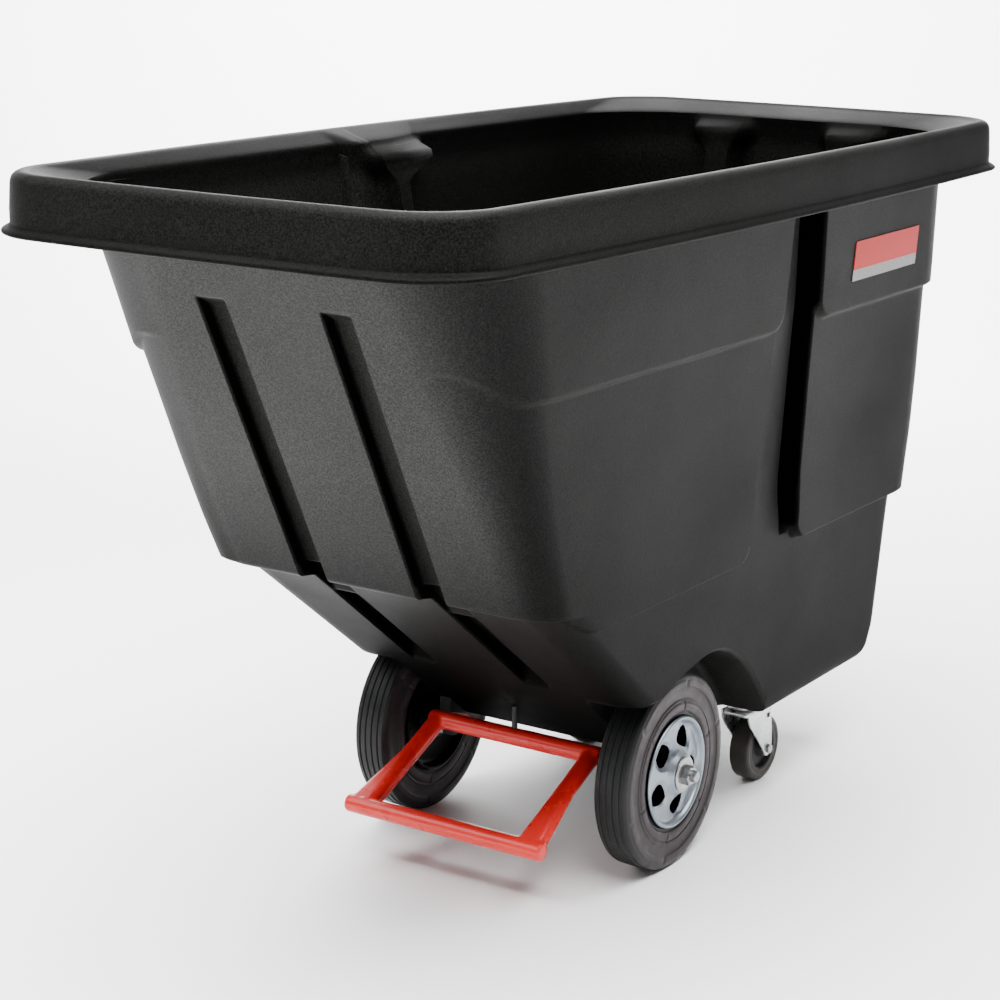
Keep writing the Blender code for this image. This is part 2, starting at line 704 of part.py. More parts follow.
def fork_leg_outline():
    """Side view of a fork leg from the swivel: wide at the crown and narrow and round at the axle."""
    points = [(-0.018, CROWN_TOP), (-0.018, 0.108)]
    for i in range(7):
        a = math.radians(180 + 180 * i / 6)
        round_eye = Vector((math.cos(a), math.sin(a))) * LEG_EYE_RADIUS
        points.append((CASTER_TRAIL + round_eye.x, CASTER_RADIUS + round_eye.y))
    points += [(CASTER_TRAIL + LEG_EYE_RADIUS, 0.108), (FORK_REAR, CROWN_TOP)]
    return points


def add_fork(side, materials, swivel):
    outer = LEG_GAP + LEG_THICKNESS
    crown = box_outline(-outer, outer, FORK_FRONT, FORK_REAR, 0.010)
    fork = add_object("caster_fork_" + side, prism("fork", crown, CROWN_BOTTOM, CROWN_TOP, "Z"),
                      materials["zinc"], smooth=False)
    for sign in (-1, 1):
        leg = prism("leg", fork_leg_outline(), sign * LEG_GAP, sign * outer)
        boolean(fork, temporary(leg), "UNION")
    pin_hole = temporary(solid_rod("pin_hole", 0.0069, 0.10, 0.14, 20, "Z"))
    boolean(fork, pin_hole)
    bolt_hole = temporary(solid_rod("bolt_hole", 0.0043, -0.04, 0.04, SMALL_ROUND))
    bolt_hole.location = (0, CASTER_TRAIL, CASTER_RADIUS)
    boolean(fork, bolt_hole)
    fork.parent = swivel
    race = [(0.0072, CROWN_TOP + GAP), (0.0215, CROWN_TOP + GAP), (0.0235, 0.1260), (0.0235, 0.1300),
            (0.0215, RACE_BOTTOM - 0.0004), (0.0072, RACE_BOTTOM - 0.0004)]
    mesh = turned("lower_race", race, ROUND, "Z")
    add_object("caster_lower_race_" + side, mesh, materials["zinc"], swivel)


def add_caster_wheel(side, materials, swivel):
    axis = add_empty("caster_axis_" + side, (0, CASTER_TRAIL, CASTER_RADIUS))
    axis.parent = swivel
    tyre = [(0.0330, 0.0150), (0.0470, 0.0160), (0.0500, 0.0135), (CASTER_RADIUS, 0.0090)]
    mesh = faceted_tyre("caster_tyre", tyre, CASTER_FACETS)
    add_object("caster_tyre_" + side, mesh, materials["rubber"], axis)
    half_core = [(0.0066, 0.0190), (0.0120, 0.0190), (0.0150, 0.0090), (0.0290, 0.0070), (0.0310, 0.0140),
                 (0.0327, 0.0140)]
    core = half_core + [(r, -x) for r, x in reversed(half_core)]
    mesh = turned("caster_core", core, CASTER_FACETS)
    add_object("caster_core_" + side, mesh, materials["block"], axis)
    bush = tube_profile(0.0062, 0.0045, -0.0200, 0.0200)
    add_object("caster_bush_" + side, turned("caster_bush", bush, 20), materials["bronze"], swivel,
               (0, CASTER_TRAIL, CASTER_RADIUS))


def add_caster(side, sign, materials):
    centre = (sign * CASTER_X, CASTER_Y, 0)
    swivel = add_empty("caster_swivel_" + side, centre, CASTER_YAW[side])
    outline = box_outline(-PLATE_HALF_X, PLATE_HALF_X, -PLATE_HALF_Y, PLATE_HALF_Y, 0.006)
    mesh = prism("plate", outline, PLATE_BOTTOM, PLATE_TOP, "Z")
    plate = add_object("caster_plate_" + side, mesh, materials["zinc"], smooth=False)
    plate.location = centre
    corners = [(x, y) for x in (-PLATE_BOLT_X, PLATE_BOLT_X) for y in (-PLATE_BOLT_Y, PLATE_BOLT_Y)]
    for number, (x, y) in enumerate(corners, 1):
        bolt = hex_bolt("bolt", *PLATE_BOLT)
        bolt.transform(Matrix.Rotation(math.pi, 4, "X"))
        shank_radius = PLATE_BOLT[2]
        hole = temporary(solid_rod("hole", shank_radius + HOLE_CLEARANCE, 0.13, 0.16, SMALL_ROUND, "Z"))
        hole.location = (centre[0] + x, centre[1] + y, 0)
        boolean(plate, hole)
        add_object("caster_bolt_%s_%d" % (side, number), bolt, materials["zinc"],
                   location=(centre[0] + x, centre[1] + y, PLATE_BOTTOM - GAP), smooth=False)
    race = [(0.0072, RACE_TOP), (0.0072, RACE_BOTTOM), (0.0243, RACE_BOTTOM), (0.0243, 0.1312),
            (0.0262, 0.1312), (0.0275, 0.1350), (0.0262, RACE_TOP)]
    mesh = turned("upper_race", race, ROUND, "Z")
    add_object("caster_upper_race_" + side, mesh, materials["zinc"], None, centre)
    pin = [(0.0085, 0.1122), (0.0105, 0.1135), (0.0095, CROWN_BOTTOM - GAP),
           (KINGPIN_RADIUS, CROWN_BOTTOM - GAP), (KINGPIN_RADIUS, PLATE_BOTTOM - GAP)]
    mesh = stepped_pin("kingpin", pin, 20)
    add_object("caster_kingpin_" + side, mesh, materials["zinc"], None, centre)
    add_fork(side, materials, swivel)
    add_caster_wheel(side, materials, swivel)
    bolt = hex_bolt("axle_bolt", *CASTER_AXLE_BOLT)
    bolt.transform(Matrix.Rotation(math.pi / 2, 4, "Y"))
    add_object("caster_axle_bolt_" + side, bolt, materials["zinc"], swivel,
               (LEG_GAP + LEG_THICKNESS + GAP, CASTER_TRAIL, CASTER_RADIUS), smooth=False)
    mesh = hex_nut("caster_nut", *CASTER_AXLE_NUT)
    nut = add_object("caster_axle_nut_" + side, mesh, materials["zinc"], swivel,
                     (-(LEG_GAP + LEG_THICKNESS + GAP), CASTER_TRAIL, CASTER_RADIUS),
                     smooth=False)
    nut.rotation_euler = (0, -math.pi / 2, 0)


def main():
    clear_scene()
    materials = make_materials()
    add_hopper(materials)
    add_label(materials)
    add_axle(materials)
    add_dump_frame(materials)
    for side, sign in (("left", -1), ("right", 1)):
        add_wheel(side, sign, materials)
        add_caster(side, sign, materials)


main()
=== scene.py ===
"""Looks for the tilt truck: a fine hopper, tyres, wheels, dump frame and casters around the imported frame."""
from math import copysign, cos, exp, hypot, pi, radians, sin, tau

import bmesh
import bpy
import numpy as np
from mathutils import Matrix, Vector


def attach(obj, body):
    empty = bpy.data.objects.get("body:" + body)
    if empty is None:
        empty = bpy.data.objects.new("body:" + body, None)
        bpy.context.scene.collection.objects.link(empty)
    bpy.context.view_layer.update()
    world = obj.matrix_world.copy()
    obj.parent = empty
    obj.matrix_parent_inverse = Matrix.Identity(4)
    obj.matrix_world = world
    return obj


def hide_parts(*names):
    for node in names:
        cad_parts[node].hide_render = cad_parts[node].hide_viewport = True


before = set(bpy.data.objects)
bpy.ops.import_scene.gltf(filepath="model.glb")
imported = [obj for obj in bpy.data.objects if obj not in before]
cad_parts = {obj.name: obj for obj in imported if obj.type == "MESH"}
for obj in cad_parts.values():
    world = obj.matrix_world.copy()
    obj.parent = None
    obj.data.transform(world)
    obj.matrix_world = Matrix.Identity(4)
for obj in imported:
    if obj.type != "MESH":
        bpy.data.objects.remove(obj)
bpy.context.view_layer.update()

SIDES = (("left", -1), ("right", 1))
WALL = 0.0065


# Small helpers ------------

def smooth(t):
    """0 below 0, 1 above 1, and a smooth step between."""
    t = np.clip(t, 0.0, 1.0)
    return t * t * (3 - 2 * t)


def window(v, low, high, soft):
    """1 between low and high, with soft edges of that width centred on them."""
    return smooth((v - low) / soft + 0.5) * smooth((high - v) / soft + 0.5)


def scene_object(name, data):
    thing = bpy.data.objects.new(name, data)
    bpy.context.scene.collection.objects.link(thing)
    return thing


def new_object(name, mesh, body, slot, material, replaced):
    """A finished piece that rides on a body and takes the place of some CAD nodes."""
    thing = scene_object(name, mesh)
    mesh.materials.clear()
    mesh.materials.append(material)
    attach(thing, body)
    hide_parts(*replaced)


def mesh_from(name, verts, faces):
    mesh = bpy.data.meshes.new(name)
    mesh.from_pydata([tuple(v) for v in verts], [], faces)
    mesh.validate()
    mesh.shade_smooth()
    return mesh


def turn_faces_out(mesh):
    bm = bmesh.new()
    bm.from_mesh(mesh)
    bmesh.ops.recalc_face_normals(bm, faces=bm.faces)
    bm.to_mesh(mesh)
    bm.free()


def joined_mesh(name, solids):
    """One mesh that holds several separate closed solids."""
    bm = bmesh.new()
    for solid in solids:
        bm.from_mesh(solid)
    mesh = bpy.data.meshes.new(name)
    bm.to_mesh(mesh)
    bm.free()
    return mesh


# Hopper: each half's points are laid closer where its moulded features are ------------

# z, half width, rear, corner radius of the plain body between the raised panels
BODY = np.array([
    (0.147, 0.204, 0.554, 0.03), (0.1485, 0.215, 0.568, 0.036), (0.152, 0.223, 0.579, 0.04),
    (0.158, 0.2275, 0.587, 0.043), (0.168, 0.2305, 0.593, 0.045), (0.2, 0.234, 0.602, 0.046),
    (0.39, 0.245, 0.6115, 0.049), (0.45, 0.25, 0.618, 0.051), (0.514, 0.2547, 0.6249, 0.053),
    (0.6, 0.261, 0.634, 0.064), (0.672, 0.2664, 0.6424, 0.079), (0.77, 0.2744, 0.653, 0.1),
    (0.88, 0.284, 0.664, 0.126), (0.94, 0.29, 0.67, 0.132),
])
# z, and how far the panels under and over the body's middle step stand out at a side and at the rear
LOW_PANEL = np.array([
    (0.4, 0.015, 0.031), (0.45, 0.0135, 0.029), (0.6, 0.0108, 0.025), (0.735, 0.0096, 0.016),
    (0.94, 0.009, 0.012),
])
TOP_PANEL = np.array([(0.744, 0.0195, 0.025), (0.885, 0.0156, 0.017), (0.94, 0.015, 0.0165)])
# Dump end seen from the side: z and y of its face, then z and y of the floor of its two channels
FACE = np.array([
    (0.147, -0.0165), (0.44, -0.3946), (0.4432, -0.399), (0.4448, -0.4045), (0.446, -0.414),
    (0.4472, -0.4225), (0.449, -0.429), (0.453, -0.4335), (0.835, -0.6282), (0.94, -0.6826),
])
CHANNEL_FLOOR = np.array([
    (0.147, -0.0165), (0.278, -0.1855), (0.283, -0.184), (0.306, -0.19), (0.311, -0.196),
    (0.4075, -0.327), (0.41, -0.333), (0.4145, -0.356), (0.418, -0.362), (0.46, -0.393),
    (0.4632, -0.397), (0.465, -0.404), (0.4668, -0.414), (0.47, -0.42), (0.818, -0.5985),
    (0.824, -0.604), (0.833, -0.627), (0.94, -0.6826),
])
FRONT_CHANNEL = (0.07, 0.11)
REAR_CHANNEL = (0.088, 0.122)
REAR_CHANNEL_DEPTH = 0.03
SIDE_CHANNEL_DEPTH = 0.035
PANEL_REAR_Y = 0.084
PANEL_LOW_Z = 0.412
PANEL_MID_Z = 0.7345
PANEL_CORNER = 0.03

# z, y of the front lip and y of the rear lip of the channel down the right side
CHANNEL_LIPS = np.array([
    (0.45, 0.1985, 0.22), (0.51, 0.193, 0.211), (0.6, 0.185, 0.2045), (0.68, 0.1775, 0.1965),
    (0.77, 0.169, 0.1885), (0.87, 0.1505, 0.176), (0.94, 0.14, 0.17),
])
# The left side's channel stands further forward than the right side's
SIDE_SHIFT = {1: 0.0, -1: -0.174}


# Half a level has this many points along the dump end, round each corner and along the side
END_POINTS, CORNER_POINTS, SIDE_POINTS = 31, 20, 82
SIDE_SPANS = (14, 18, 4, 8, 2, 10, 14, 12)
LIP_POINTS = 9

# Heights at which the levels of the body change their spacing, and how many levels each stretch has
LEVEL_SPANS = [
    (0.147, 0.153, 5), (0.153, 0.168, 4), (0.168, 0.27, 7), (0.27, 0.322, 11), (0.322, 0.394, 5),
    (0.394, 0.476, 42), (0.476, 0.7, 14), (0.7, 0.776, 28), (0.776, 0.812, 4), (0.812, 0.842, 13),
    (0.842, 0.936, 12),
]
CAVITY_FOOT = [0.158, 0.16, 0.164]
CAVITY_TOP = [0.9395, 0.943, 0.9465, 0.95, 0.9535]


def at_level(table, z):
    """The columns of a table whose first column is the height, read at a height."""
    return [np.interp(z, table[:, 0], table[:, i]) for i in range(1, table.shape[1])]


def level_rows():
    rows = [LEVEL_SPANS[0][0]]
    for low, high, count in LEVEL_SPANS:
        rows += [low + (high - low) * (i + 1) / count for i in range(count)]
    return rows


def spread(spans):
    """Evenly spaced values along each (start, end, count), without the last end."""
    values = []
    for low, high, count in spans:
        values += [low + (high - low) * i / count for i in range(count)]
    return values


def half_outline(front_x, side_y, rear_x, size, radius):
    """Half a ring with round corners: x, y and the way each point faces.

    It runs from the middle of the dump end (-90 degrees) past the side (0) to the middle of the rear (90).
    The size is x of the side, y of the dump end and y of the rear.
    """
    w, front, rear = size
    cx = w - radius

    def corner(cy, start):
        angles = [start + 90 * i / CORNER_POINTS for i in range(CORNER_POINTS)]
        return [(cx + radius * cos(radians(a)), cy + radius * sin(radians(a)), a)
                for a in angles]

    points = [(x, front, -90.0) for x in front_x] + corner(front + radius, -90)
    points += [(w, y, 0.0) for y in side_y] + corner(rear - radius, 0)
    points += [(x, rear, 90.0) for x in rear_x]
    return np.array(points).T


def cavity_light(z, y, channel_y):
    """How bright the inside is: a little more in front of the side channel, less under the rim."""
    tone = np.where(y < channel_y, 0.6, np.interp(y, [0.0, 0.5], [0.36, 0.2]))
    return tone * (1 - 0.6 * smooth((z - 0.9) / 0.03))


def corner_box(a, b, radius):
    """How far inside a corner with a round tip a point is, from its distances inside the two edges."""
    inside = np.minimum(a, b)
    ca, cb = radius - a, radius - b
    round_part = radius - np.hypot(np.maximum(ca, 0), np.maximum(cb, 0))
    return np.where((ca > 0) & (cb > 0), round_part, inside)


def face_light(z, angle, y):
    """How bright the outside is: most on the dump end's face, least under the ledge and low at the rear."""
    dump = np.interp(z, [0.147, 0.26, 0.4, 0.45, 0.53, 0.62], [0.04, 0.11, 0.27, 0.44, 0.78, 1.0])
    flank = np.interp(z, [0.147, 0.35, 0.5, 0.65, 0.8, 0.94], [0.17, 0.23, 0.28, 0.36, 0.48, 0.54])
    flank = flank * np.interp(y, [0.15, 0.62], [1.0, 0.58])
    turned = np.clip((angle + 90) / 90, 0, 1)
    blend = smooth(turned * 1.4)
    return (dump * (1 - blend) + flank * blend) * (1 - 0.18 * np.sin(pi * turned))


class Level:
    """Sizes of half the hopper at one height: outside with no inset, inside with the wall as the inset."""

    def __init__(self, z, inset, side):
        self.z, self.inset, self.shift = z, inset, SIDE_SHIFT[side]
        w, rear, corner = at_level(BODY, z)
        face, floor = at_level(FACE, z)[0], at_level(CHANNEL_FLOOR, z)[0]
        lean = 1.6 if z < 0.44 else 1.13
        self.w, self.rear, self.corner = w - inset, rear - inset, corner - inset * 0.8
        self.face = face + inset * lean
        self.floor = max(floor + inset * lean, self.face)
        # Inside, the ribs widen into domes under the rim
        widen = smooth((z - 0.898) / 0.034) if inset else 0.0
        self.front_channel = (FRONT_CHANNEL[0] - inset, FRONT_CHANNEL[1] + inset)
        self.rear_channel = (REAR_CHANNEL[0] - inset - 0.012 * widen, REAR_CHANNEL[1] + inset + 0.03 * widen)
        lips = at_level(CHANNEL_LIPS, z)
        self.side_channel = (lips[0] - inset + self.shift - 0.01 * widen,
                             lips[1] + inset * 1.8 + self.shift + 0.085 * widen)
        self.rear_panel_y = lips[1] + self.shift + 0.003
        self.front_panel_y = PANEL_REAR_Y + self.shift
        self.soft = 0.005 + inset * 0.6 + 0.03 * widen
        self.fade_out = smooth((z - 0.932) / 0.0215) if inset else smooth((z - 0.88) / 0.045)


def plain_outline(level):
    """Half of a level without its panels and channels."""
    near = 0.008
    cx = level.w - level.corner
    y0, y1 = level.face + level.corner, level.rear - level.corner
    fc0, fc1 = level.front_channel
    rc0, rc1 = level.rear_channel
    sc0, sc1 = level.side_channel
    front_x = spread([(0, fc0 - near, 6), (fc0 - near, fc0 + near, LIP_POINTS), (fc0 + near, fc1 - near, 3),
                      (fc1 - near, fc1 + near, LIP_POINTS), (fc1 + near, cx, 4)])
    marks = [y0, level.front_panel_y - 0.05, level.front_panel_y + 0.01, sc0 - 0.007, sc0 + 0.007,
             sc1 - 0.007, sc1 + 0.01, sc1 + 0.055, y1]
    for i in range(1, 8):
        marks[i] = max(marks[i], marks[i - 1] + 0.006)
    side_y = spread(list(zip(marks, marks[1:], SIDE_SPANS)))
    rear_x = spread([(cx, rc1 + near, 3), (rc1 + near, rc1 - near, LIP_POINTS), (rc1 - near, rc0 + near, 3),
                     (rc0 + near, rc0 - near, LIP_POINTS), (rc0 - near, 0, 7)]) + [0.0]
    return half_outline(front_x, side_y, rear_x, (level.w, level.face, level.rear), level.corner)


def panel_height(level, y, angle):
    """How far the raised panels stand out: a lower and an upper one on each side of the channel."""
    z, inset = level.z, level.inset
    at_rear = y > (level.side_channel[0] + level.side_channel[1]) / 2
    step = 0.006 if not inset else 0.03
    from_edge = np.where(at_rear, y - level.rear_panel_y - inset, level.front_panel_y + inset - y)
    climb = 0.036 * smooth((-angle - 22) / 40)
    lift = 0.037 * smooth((-angle - 12) / 34)
    over_low = corner_box(from_edge, z - PANEL_LOW_Z - lift + inset * 0.5, PANEL_CORNER)
    over_mid = corner_box(from_edge, z - PANEL_MID_Z - climb + inset * 0.5, PANEL_CORNER)
    low_mask = smooth(over_low / step + 0.5)
    mid_mask = smooth(over_mid / step + 0.5)
    fade = np.where(at_rear, 1.0, smooth((angle + 82) / 50))
    low, rear_low = at_level(LOW_PANEL, z)
    top, rear_top = at_level(TOP_PANEL, z)
    turn = smooth(angle / 90) * at_rear
    low_amount = low * (1 - turn) + rear_low * turn
    top_amount = top * (1 - turn) + rear_top * turn
    return fade * (low_mask * low_amount * (1 - mid_mask) + mid_mask * top_amount)


def hopper_ring(z, inset, side=1):
    """One level of the hopper, half of it, from the middle of the dump end round to the middle of the rear.

    Gives its points, and for each how much light it gets: painted shade makes the grooves and the inside
    darker and less shiny.
    """
    level = Level(z, inset, side)
    x, y, angle = plain_outline(level)
    out = panel_height(level, y, angle)
    on_side, on_rear, on_face = (np.abs(angle - facing) < 1e-6 for facing in (0, 90, -90))
    sc0, sc1 = level.side_channel
    panel_y = level.front_panel_y
    lean_in = 0.009 * np.clip((y - panel_y) / (sc0 - panel_y + 1e-9), 0, 1)
    lean_in = lean_in * (y < sc0 + 0.004) * (y > panel_y) * window(z, 0.46, 2.0, 0.09)

    # The sides are bowed
    reach = (level.rear - level.face) / 2
    v = (y - (level.rear + level.face) / 2) / reach
    bow = 0.008 * smooth((z - 0.45) / 0.45) * (1 - v * v)
    x = x + np.cos(np.radians(angle)) * (out + bow) - lean_in * on_side
    y = y + np.sin(np.radians(angle)) * out

    # Channels down the side, the rear and the dump end
    soft = level.soft
    side_ends = window(z, 0.432 - inset * 0.3, 2.0, 0.016) * (1 - level.fade_out)
    side_window = window(y, sc0, sc1, soft) * on_side
    x = x - side_window * side_ends * (SIDE_CHANNEL_DEPTH + out)
    rear_ends = window(z, 0.425, 2.0, 0.016) * (1 - level.fade_out)
    rear_window = window(np.abs(x), *level.rear_channel, soft) * on_rear
    y = y - rear_window * rear_ends * (REAR_CHANNEL_DEPTH + out * 0.6)
    front_window = window(np.abs(x), *level.front_channel, soft) * on_face
    y = y + front_window * (level.floor - level.face)
    points = np.stack([x, y, np.full_like(x, z)], 1)
    if inset:
        return points, cavity_light(z, y, sc0)
    light = face_light(z, angle, y)
    # Painted shade: the dump end's channel walls go nearly black and their floors partly dark, and the side
    # and rear grooves go dark as well.
    deep = smooth((level.floor - level.face) / 0.008)
    channel_wall = 4 * front_window * (1 - front_window)
    light = light * (1 - deep * np.maximum(0.96 * smooth(channel_wall * 1.6), 0.45 * front_window))
    slot = window(y, sc0 - 0.002, sc1 + 0.004, soft) * on_side
    dim_side = 1 - 0.95 * smooth(slot * 2.2) * side_ends
    dim_rear = 1 - 0.9 * smooth(rear_window * 2) * rear_ends
    return points, light * dim_side * dim_rear


def whole(right, left):
    """Join two half rings into a full one, anticlockwise from the middle of the dump end."""
    mirrored = left[-2:0:-1].copy()
    if mirrored.ndim == 2:
        mirrored[:, 0] *= -1
    return np.concatenate([right, mirrored])


def hopper_level(z, inset):
    right, right_light = hopper_ring(z, inset, 1)
    left, left_light = hopper_ring(z, inset, -1)
    return whole(right, left), whole(right_light, left_light)


CREST_W, CREST_L = 0.3324, 0.7409
SIDE_BULGE, END_BULGE = 0.02, 0.01
HEIGHT = 0.972

# Outward from the crest line, down from the top, and the corner's radius: under the rim, the skirt's inside,
# the lip, the crease over it, the skirt and the crest
RIM = [
    (-0.02, 0.027, 0.084), (-0.012, 0.0215, 0.083), (0.0, 0.019, 0.083), (0.0065, 0.021, 0.084),
    (0.01, 0.028, 0.086), (0.0132, 0.05, 0.09), (0.0158, 0.0655, 0.093), (0.0176, 0.0708, 0.094),
    (0.0198, 0.0722, 0.095), (0.0225, 0.0725, 0.095), (0.0255, 0.0722, 0.096), (0.027, 0.0713, 0.096),
    (0.0276, 0.0697, 0.096), (0.0274, 0.0682, 0.096), (0.0262, 0.0666, 0.096), (0.024, 0.065, 0.095),
    (0.0212, 0.0632, 0.094), (0.0198, 0.0612, 0.094), (0.0194, 0.059, 0.093), (0.019, 0.044, 0.091),
    (0.0178, 0.026, 0.089), (0.0168, 0.015, 0.087), (0.0161, 0.0105, 0.086), (0.0146, 0.0062, 0.085),
    (0.012, 0.0029, 0.084), (0.0085, 0.0008, 0.083), (0.0048, 0.0, 0.081), (0.0012, 0.0004, 0.08),
    (-0.0024, 0.0018, 0.08),
]
LIP_LEVEL = 12

# How far out from the wall towards the crest, and how far down, the levels of the rim's inner flank are
FLANK = [(0.86, 0.004), (0.68, 0.0072), (0.48, 0.0104), (0.28, 0.0134), (0.13, 0.0156), (0.04, 0.0173)]


def rim_ring(offset, drop, corner, like):
    """Half a level of the rim, with its points spread like those of a level of the body."""
    w, length = CREST_W + offset, CREST_L + offset
    x1, y1 = w - SIDE_BULGE, length - END_BULGE
    cx, cy = x1 - corner, y1 - corner
    side_start = END_POINTS + CORNER_POINTS
    side_end = side_start + SIDE_POINTS
    body_cx, body_y0, body_y1 = like[END_POINTS, 0], like[side_start, 1], like[side_end, 1]
    front_x = like[:END_POINTS, 0] / body_cx * cx
    side_y = -cy + 2 * cy * ((like[side_start:side_end, 1] - body_y0) / (body_y1 - body_y0))
    rear_x = like[side_end + CORNER_POINTS:, 0] / body_cx * cx
    x, y, _ = half_outline(front_x, side_y, rear_x, (x1, -y1, y1), corner)
    u, v = x / x1, y / y1
    x = x + SIDE_BULGE * (1 - v * v) * u
    y = y + END_BULGE * (1 - u * u) * v
    return np.stack([x, y, np.full(len(x), HEIGHT - drop)], 1)


def grid_faces(rows, count, flip=False):
    """Quads between rings of so many points each."""
    faces = []
    for r in range(rows - 1):
        a, b = r * count, (r + 1) * count
        for i in range(count):
            j = (i + 1) % count
            quad = (a + i, a + j, b + j, b + i)
            faces.append(quad[::-1] if flip else quad)
    return faces


def set_light(mesh, values):
    """How lit each point is, kept per face corner so that cuts carry it along."""
    corner_of = np.empty(len(mesh.loops), dtype=np.int32)
    mesh.loops.foreach_get("vertex_index", corner_of)
    layer = mesh.attributes.new("light", "FLOAT", "CORNER")
    layer.data.foreach_set("value", np.asarray(values, dtype=np.float32)[corner_of])


def closed_grid(name, rings, flip=False, light=None):
    """A closed solid through rings of points, capped at both ends."""
    count = len(rings[0])
    faces = grid_faces(len(rings), count, flip)
    bottom = tuple(range(count))
    top = tuple((len(rings) - 1) * count + i for i in range(count))
    faces += [bottom if flip else bottom[::-1], top[::-1] if flip else top]
    mesh = mesh_from(name, np.concatenate(rings), faces)
    turn_faces_out(mesh)
    if light is not None:
        set_light(mesh, light)
    return mesh


WELL_ARCH = [
    (-0.4, 0.2615), (-0.32, 0.2615), (-0.25, 0.2615), (-0.18, 0.262), (-0.115, 0.2615), (-0.09, 0.267),
    (-0.065, 0.2755), (-0.025, 0.285), (0.02, 0.292), (0.062, 0.287), (0.102, 0.269), (0.136, 0.246),
    (0.183, 0.2), (0.226, 0.147), (0.256, 0.1),
]


def smooth_curve(points, count):
    """A Catmull-Rom curve through the points, evenly resampled."""
    p = [Vector(v) for v in points]
    p = [p[0] * 2 - p[1]] + p + [p[-1] * 2 - p[-2]]
    dense = []
    for i in range(1, len(p) - 2):
        for k in range(12):
            t = k / 12
            a, b, c, d = p[i - 1], p[i], p[i + 1], p[i + 2]
            dense.append(0.5 * (2 * b + (c - a) * t + (2 * a - 5 * b + 4 * c - d) * t * t
                                + (3 * b - a - 3 * c + d) * t ** 3))
    dense.append(p[-2])
    dense = np.array([tuple(v) for v in dense])
    run = np.concatenate([[0], np.cumsum(np.linalg.norm(np.diff(dense, axis=0), axis=1))])
    even = np.linspace(0, run[-1], count)
    return np.stack([np.interp(even, run, dense[:, i]) for i in range(dense.shape[1])], 1)


# How far from the middle a well starts, where the hopper's side is, and what every well stays above
WELL_X, WELL_EDGE_X, WELL_FOOT_Z = 0.15, 0.2333, 0.06


def well_steps(wall):
    """Distances from the middle and how much the well's outline is grown at each."""
    if wall:
        return [(WELL_X - wall, wall), (0.32, wall)]
    flare, turn = 0.007, radians(74)
    steps = [(WELL_X, -0.01), (0.1508, -0.0066), (0.153, -0.0034), (0.1565, -0.001), (0.161, 0.0)]
    for k in range(8):
        a = turn * k / 7
        steps.append((WELL_EDGE_X - flare * sin(turn) + flare * sin(a), flare * (1 - cos(a))))
    return steps + [(0.3, steps[-1][1] + 0.004)]


def well_cutter(sign, wall):
    """The space a wheel turns in, flared at the hopper's side so that the edge comes out round."""
    curve = smooth_curve(WELL_ARCH, 84)
    slope = np.gradient(curve, axis=0)
    normal = np.stack([-slope[:, 1], slope[:, 0]], 1)
    normal /= np.linalg.norm(normal, axis=1)[:, None]
    rings = []
    for x, grow in well_steps(wall):
        points = curve + normal * grow
        lean = 0.055 * (points[:, 1] - 0.2) if x > 0.2 else 0 * points[:, 1]
        ring = [(sign * (x + out), y, z) for (y, z), out in zip(points, lean)]
        ring += [(sign * x, WELL_ARCH[-1][0], WELL_FOOT_Z), (sign * x, WELL_ARCH[0][0], WELL_FOOT_Z)]
        rings.append(np.array(ring))
    # Painted shade: a well's cut faces get a low light value, lower where it cuts the inside.
    dim = 0.3 if wall else 0.45
    return closed_grid("well", rings, flip=sign < 0, light=np.full(sum(len(r) for r in rings), dim))


def subtract(mesh, cutters):
    """The mesh less the cutters, worked out in a scratch object that is thrown away."""
    target = scene_object("scratch", mesh)
    tools = []
    for cutter in cutters:
        tool = scene_object("scratch_tool", cutter)
        tools.append(tool)
        change = target.modifiers.new("cut", "BOOLEAN")
        change.operation = "DIFFERENCE"
        change.solver = "EXACT"
        change.object = tool
    graph = bpy.context.evaluated_depsgraph_get()
    result = bpy.data.meshes.new_from_object(target.evaluated_get(graph))
    for thing in [target] + tools:
        old = thing.data
        bpy.data.objects.remove(thing)
        bpy.data.meshes.remove(old)
    return result


def pooled(meshes):
    """One mesh of several, each with the height of the cap to leave out and whether to turn it over."""
    verts, faces, light = [], [], []
    for mesh, cap, turn_over in meshes:
        start = len(verts)
        verts += [tuple(v.co) for v in mesh.vertices]
        layer = mesh.attributes["light"].data
        for face in mesh.polygons:
            if cap is not None and all(abs(mesh.vertices[i].co.z - cap) < 1e-6 for i in face.vertices):
                continue
            corners = [(start + mesh.loops[k].vertex_index, layer[k].value) for k in face.loop_indices]
            if turn_over:
                corners.reverse()
            faces.append([i for i, _ in corners])
            light += [v for _, v in corners]
    whole_mesh = bpy.data.meshes.new("pooled")
    whole_mesh.from_pydata(verts, [], faces)
    whole_mesh.attributes.new("light", "FLOAT", "CORNER").data.foreach_set("value", light)
    return whole_mesh


def rim_light(ring, offset, drop):
    """Painted light on the rim: the skirt gets darker painted shade towards the rear, the lip a little painted
    shade, and only the crest itself a painted highlight, with painted shade just beside it.
    """
    skirt = np.interp(ring[:, 1], [-0.76, -0.66, -0.5, 0.0, 0.6], [0.4, 0.46, 0.46, 0.36, 0.17])
    edge = np.interp(offset, [-0.0024, 0.0012, 0.0048, 0.0085, 0.0146], [0.55, 1.0, 0.85, 0.55, 1.0])
    edge = edge if drop < 0.012 else 1.0
    lip = 0.6 if 0.06 < drop < 0.0725 else 1.0
    return skirt * edge * lip


